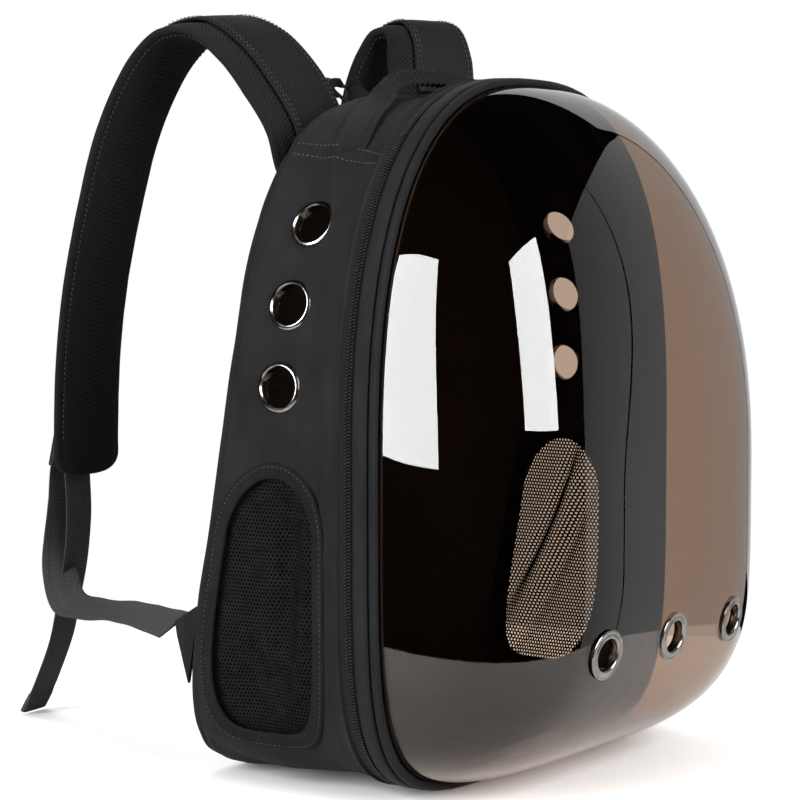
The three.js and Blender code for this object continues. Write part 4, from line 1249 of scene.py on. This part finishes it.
class CARRIER_OT_straps(bpy.types.Operator):
    """Make the padded shoulder straps with their woven bands and stitching."""

    bl_idname = "carrier.straps"
    bl_label = "Shoulder straps"

    def execute(self, context):
        form = Form(context)
        for side, hand, swing, drop, rows in STRAPS:
            route = strap_route(form, hand, swing, drop, rows)
            self.pad(form, side, route)
            self.band(form, side, route)
        return {"FINISHED"}

    def pad(self, form, side, route):
        straight = 158
        rows = straight + PAD_ENDINGS
        stations = [route.station(i / straight) for i in range(straight + 1)]
        centre, along, across, normal = stations[-1]
        for k in range(1, PAD_ENDINGS + 1):
            past = PAD_END * math.sin(k / PAD_ENDINGS * math.pi / 2)
            stations.append((centre + along * past, along, across, normal))

        def place(u, v):
            i = round(v * rows)
            spot, _, across, normal = stations[i]
            past = max(i - straight, 0) / PAD_ENDINGS
            narrow = math.cos(past * math.pi / 2) ** 0.6 if past < 1 else 0.12
            narrow = max(narrow, 0.12)
            c, s = ring(u)
            a = boxy(c, 0.5)
            bulk = PAD_BULK / 2 * (1 - 0.25 * abs(a) ** 6)
            n = boxy(s, 0.6) * bulk
            n -= math.copysign(0.7, s) * bump_at(abs(a), 0.86, 0.035) * (abs(s) > 0.2)
            soft = 0.35 * noise.noise(Vector((a * 2, i * 0.11, 3)))
            n += math.copysign(soft, s)
            spot = spot + across * (a * PAD_WIDTH / 2 * narrow)
            return form.at(*(spot + normal * (n * (0.4 + 0.6 * narrow) - PAD_SINK)))

        bm = sheet_mesh(56, rows, place, (2 * PAD_WIDTH, route.length + PAD_END))
        close_ends(bm)
        pad = add_piece(bm, side + "_pad", "spacer", (side + "_strap_pad",), 70)
        out, under = PAD_WIDTH / 2 - 4.2, PAD_SINK + PAD_BULK / 2 - 0.55
        spots = []
        for way, _ in SIDES:
            row = []
            for spot, _, across, normal in stations[2 : straight - 2 : 2]:
                row.append((spot + across * way * out - normal * under, -normal))
            spots += path_spots(row, 3.6)
        stitch_row(form, side + "_pad_stitches", spots, 2.5, 0.35)

    def band(self, form, side, route):
        start = 0.0
        for i in range(120):
            centre, _, _, normal = route.station(i / 120)
            face = centre.y + normal.y * STRAP_BULK / 2 - 3
            if face > form.top_depth or centre.z > LOWEST + form.height:
                start = i / 120
                break
        start = max(start, 1 / 18)
        shift = (PAD_WIDTH - BAND_WIDTH) * 0.42
        section = flat_section(BAND_WIDTH, 2.6, 0.5)
        bm = sweep(form, route, section, BAND_WIDTH, 36, 170, start, (shift, BAND_RAISE))
        add_piece(bm, side + "_band", "band", (side + "_strap_band",), 60)
        spots = []
        for way, _ in SIDES:
            for inset in (1.8, 4.0):
                row = []
                for i in range(161):
                    centre, _, across, normal = route.station(mix(start, 1, i / 160))
                    a = shift + way * (BAND_WIDTH / 2 - inset)
                    row.append((centre + across * a + normal * (BAND_RAISE + 1.5), normal))
                spots += path_spots(row, 3.6)
        stitch_row(form, side + "_band_stitches", spots, 2.6, 0.35)


# Lower webbing routes. On the way up: share of the way from tab to buckle, then outward,
# behind and above that line, yaw and tip. On the way down: share of the way to the
# ground, how far behind the bar, yaw and tip.
LEFT_UP = [
    (0, 0, 1.4, 0, -20, 34), (0.24, 0, 0, -25, -22, 25), (0.46, 0, 0, -49, -22, 24),
    (0.74, 8, 0, -81, -22, 27), (0.9, 13, 0, -95, -28, 28), (0.99, 12, 0, -88, -30, 6),
    (1, 5, 7, -69, -14, -8), (1, 0, 9, -38, 0, 0), (1, 0, 7.2, -15, 0, 0),
]  # fmt: skip
LEFT_DOWN = [
    (0.1, -6, 0, 0), (0.34, -6, 2, 0), (0.5, 0, 3, 0), (0.65, 7, 4, 0), (0.78, 16, 4, 0),
    (0.88, 26, 4, 0), (0.985, 38, 4, 0),
]  # fmt: skip
RIGHT_UP = [
    (0, 0, 1.4, 0, -30, 40), (0.14, 0, 10, -16, -50, 40), (0.4, 0, 20, -40, -66, 34),
    (0.66, 0, 22, -56, -60, 28), (0.88, 0, 19, -58, -30, 12), (1, 0, 14, -42, 0, 0),
    (1, 0, 7.2, -15, 0, 0),
]  # fmt: skip
RIGHT_DOWN = [(0.14, -6, 0, 0), (0.48, -5, 0, 0), (0.74, 2, 0, 0), (0.975, 14, 0, 0)]
BUCKLE_LEAN = math.radians(14)
BUCKLE_HEIGHT = 30
TAB_UP = LOWEST + 80
TAB_INSET = 7.3
TAB_REACH = 15


class CARRIER_OT_webbing(bpy.types.Operator):
    """Make the lower webbing, its sewn tabs and the ladder-lock buckles."""

    bl_idname = "carrier.webbing"
    bl_label = "Webbing and buckles"

    def execute(self, context):
        form = Form(context)
        width = context.scene.carrier_sizes.webbing_width / MM
        for (side, hand, swing, drop, rows), up, down in zip(
            STRAPS, (LEFT_UP, RIGHT_UP), (LEFT_DOWN, RIGHT_DOWN)
        ):
            route = strap_route(form, hand, swing, drop, rows)
            face = route.point(1).y + STRAP_BULK / 2 + GAP
            end = route.point(1).z - PAD_WIDTH * 0.22
            top = Vector((hand * STRAP_APART, face, end + BUCKLE_HEIGHT * 1.15))
            self.buckle(form, side, top, width)
            bar = Matrix.Rotation(BUCKLE_LEAN, 3, "X") @ Vector((0, 2, -BUCKLE_HEIGHT / 2)) + top
            self.strip(form, side, hand, bar, up, down, width)
            self.tab(form, side, hand)
        return {"FINISHED"}

    def buckle(self, form, side, top, width):
        """Two rails joined by three bars, with rounded edges."""
        rail = 3.2
        outer = width + 2 + 2 * rail
        parts = [((way * (outer - rail) / 2, 2, -15), (rail, 4, BUCKLE_HEIGHT)) for way, _ in SIDES]
        parts += [((0, 2.3, -1.3), (outer - 1, 3.0, 3.6)), ((0, 2, -15), (outer - 1, 2.6, 2.6))]
        parts += [((0, 1.7, -28.6), (outer - 1, 3.2, 2.8))]
        bm = rounded_boxes(parts, 0.8)
        turn = Matrix.Translation(top) @ Matrix.Rotation(BUCKLE_LEAN, 4, "X")
        for vert in bm.verts:
            vert.co = form.at(*(turn @ vert.co))
        add_piece(bm, side + "_ladder_lock", "plastic", (side + "_buckle",), 50)

    def strip(self, form, side, hand, bar, up, down, width):
        edge = form.half - TAB_INSET
        start = Vector((hand * edge, form.back_at(TAB_UP) + TAB_REACH + GAP, TAB_UP + 10))
        rise = [start.lerp(bar, row[0]) + Vector((hand * row[1], row[2], row[3])) for row in up]
        over = 0.8 + 2.6 * math.sqrt(0.5) + GAP
        loop = []
        for angle in (180, 225, 270, 315, 360):
            turn = math.radians(angle)
            loop.append(bar + Vector((0, -over * math.cos(turn), -over * math.sin(turn))))
        loose = [Vector((bar.x, bar.y + row[1], bar.z * (1 - row[0]))) for row in down]
        rows = [(row[4], row[5]) for row in up] + [(0, 0)] * 5 + [(row[2], row[3]) for row in down]

        def widthwise(position, along):
            yaw = math.radians(between(rows, 0, position))
            tip = math.radians(between(rows, 1, position))
            level = math.cos(tip)
            return Vector((level * math.cos(yaw), -hand * level * math.sin(yaw), -hand * math.sin(tip)))

        route = Route(rise + loop + loose, widthwise)
        hem = 1 - 16 / route.length

        def section(u, v):
            c, s = ring(u)
            a = boxy(c, 0.35) * width / 2
            thick = 1.5 + 2.6 * min(max((v - hem) / 0.006, 0), 1)
            curl = 0.25 * math.sin(v * 70) * (a / 12) ** 2
            return a, boxy(s, 0.5) * thick / 2 + curl

        bm = sweep(form, route, section, width, 28, 330)
        add_piece(bm, side + "_webbing_strip", "tail", (side + "_webbing",), 60)
        spots = []
        for back in (4, 7, 13):
            centre, _, across, normal = route.station(1 - back / route.length)
            for k in range(9):
                a = (k - 4) * 2.5
                for way, _ in SIDES:
                    spots.append((centre + across * a + normal * way * 2.05, across, normal * way))
        stitch_row(form, side + "_hem_stitches", spots, 1.9, 0.35)

    def tab(self, form, side, hand):
        """A folded triangle of webbing sewn into the back edge."""
        thick = 3

        def back(up):
            return form.back_at(TAB_UP + up) + GAP

        corners = [(back(25), 25), (back(0) + TAB_REACH, 13), (back(0) + 13.5, 4), (back(-25), -25)]
        bm = thick_face([(0, depth, TAB_UP + up) for depth, up in corners], (thick, 0, 0))
        bmesh.ops.subdivide_edges(bm, edges=bm.edges[:], cuts=3, use_grid_fill=True)
        bmesh.ops.recalc_face_normals(bm, faces=bm.faces)
        bmesh.ops.bevel(
            bm, geom=[e for e in bm.edges if e.calc_face_angle(0) > 0.6], offset=0.6, segments=2,
            affect="EDGES", profile=0.5, material=-1,
        )  # fmt: skip
        uv = bm.loops.layers.uv.active
        for item in bm.faces:
            for loop in item.loops:
                loop[uv].uv = (loop.vert.co.y, loop.vert.co.z)
        for vert in bm.verts:
            x = hand * (form.half - TAB_INSET) - thick / 2 + vert.co.x
            vert.co = form.at(x, vert.co.y, vert.co.z)
        add_piece(bm, side + "_tab", "webbing", (side + "_strap_tab",), 50)


# Handle rows: out and ahead as shares of its half length, rise and fold from 0 to 1
HANDLE_ROWS = [
    (1, 0.12, 0, 0), (0.88, 0.09, 0, 0), (0.76, 0.05, 0, 0), (0.64, 0.02, 0, 0), (0.54, 0, 0.2, 0.35),
    (0.46, 0, 0.9, 0.95), (0.24, 0, 1, 1), (0, 0, 1, 1),
]  # fmt: skip
HANDLE_HALF = 111
HANDLE_DEPTH = 74
HANDLE_WIDTH = 27
HANDLE_FOLDED = 19
LOOP_WIDTH = 16
LOOP_UP = 39


class CARRIER_OT_handle(bpy.types.Operator):
    """Make the grab handle, the hanging loop and the zip sliders."""

    bl_idname = "carrier.handle"
    bl_label = "Handle, loop and zip sliders"

    def execute(self, context):
        form = Form(context)
        self.handle(form)
        self.loop(form)
        self.sliders(form)
        return {"FINISHED"}

    def handle(self, form):
        rows = [(-out, *row) for out, *row in HANDLE_ROWS] + HANDLE_ROWS[-2::-1]
        rows = [(i, *row) for i, row in enumerate(rows)]

        def place(u, v):
            at = v * (len(rows) - 1)
            x, ahead, rise, fold = (smooth_value(rows, at, key) for key in (1, 2, 3, 4))
            fold = min(max(fold, 0), 1)
            rise = min(max(rise, 0), 1)
            x *= HANDLE_HALF
            depth = HANDLE_DEPTH - ahead * HANDLE_HALF
            top = form.top_at(x, 0)
            outset = form.outset_at(form.deep_at(depth, top), top) + 1.1
            half = mix(HANDLE_WIDTH, HANDLE_FOLDED, fold) / 2
            c, s = ring(u)
            share = boxy(c, 0.45)
            wall = 1.0 + 0.9 * boxy(s, 0.5)
            peak = fold * 8 * (1 - abs(share) ** 1.4)
            pleat = fold * math.sin(x * 1.1) * (1 - 0.3 * abs(share))
            z = form.top_at(x, outset + wall) + rise * 6 + peak + pleat
            return form.at(x, depth + share * half, z)

        bm = sheet_mesh(40, 300, place, (54, 240))
        close_ends(bm)
        add_piece(bm, "handle", "webbing", ("grab_handle",), 60)

    def loop(self, form):
        foot = LOWEST + STRAP_ROOT + LOOP_UP
        half = [(0.48, 0, -0.5), (0.5, 0.06, 0), (0.52, 0.45, 0.55), (0.36, 0.88, 0.92), (0, 1, 1)]
        rows = [(-a, b, c) for a, b, c in half] + half[:-1][::-1]
        places = []
        for out, behind, up in rows:
            z = foot + up * LOOP_UP
            places.append((out * 25, form.panel_face(0, min(z, foot)) + 1.8 + behind * 44, z))

        def widthwise(position, along):
            turn = position / (len(rows) - 1) * math.pi
            return Vector((math.cos(turn), 0.9 * math.sin(turn), 0.43 * math.sin(turn)))

        route = Route(places, widthwise)
        bm = sweep(form, route, flat_section(LOOP_WIDTH, 1.6), LOOP_WIDTH, 20, 120)
        add_piece(bm, "back_loop", "webbing", ("hanging_loop",), 60)

    def sliders(self, form):
        middle = TAPE_FRONT + 3.2
        for name, z in (("upper", WIDEST_UP + 11), ("lower", WIDEST_UP - 33)):
            x = form.width_at(z, 5.1) + 1.9
            parts = [((x, middle, z), (2.4, 7.2, 11)), ((x + 0.6, middle, z + 1), (1.6, 2.0, 8))]
            parts += [((x + 0.4, middle, z - 12.5), (1.2, 5.2, 22))]
            bm = rounded_boxes(parts, 0.5)
            for vert in bm.verts:
                vert.co = form.at(*vert.co)
            add_piece(bm, "slider_" + name, "nickel", ("zip_slider_" + name,), 50)


class CARRIER_PT_panel(bpy.types.Panel):
    """Lists the carrier's sizes, colours and pieces."""

    bl_label = "Pet carrier"
    bl_idname = "CARRIER_PT_panel"
    bl_space_type = "VIEW_3D"
    bl_region_type = "UI"
    bl_category = "Carrier"

    def draw(self, context):
        for group in (context.scene.carrier_sizes, context.scene.carrier_colours):
            for key in group.bl_rna.properties.keys():
                if key not in {"rna_type", "name"}:
                    self.layout.prop(group, key)
        for operator in OPERATORS:
            self.layout.operator(operator.bl_idname)


OPERATORS = (
    CARRIER_OT_stage,
    CARRIER_OT_dome,
    CARRIER_OT_front,
    CARRIER_OT_body,
    CARRIER_OT_windows,
    CARRIER_OT_back,
    CARRIER_OT_straps,
    CARRIER_OT_webbing,
    CARRIER_OT_handle,
)
CLASSES = (CarrierSizes, CarrierColours, *OPERATORS, CARRIER_PT_panel)


def register():
    for item in CLASSES:
        bpy.utils.register_class(item)
    bpy.types.Scene.carrier_sizes = bpy.props.PointerProperty(type=CarrierSizes)
    bpy.types.Scene.carrier_colours = bpy.props.PointerProperty(type=CarrierColours)


def unregister():
    del bpy.types.Scene.carrier_colours
    del bpy.types.Scene.carrier_sizes
    for item in reversed(CLASSES):
        bpy.utils.unregister_class(item)


def main():
    register()
    for operator in OPERATORS:
        group, name = operator.bl_idname.split(".")
        getattr(getattr(bpy.ops, group), name)()


if __name__ == "__main__":
    main()
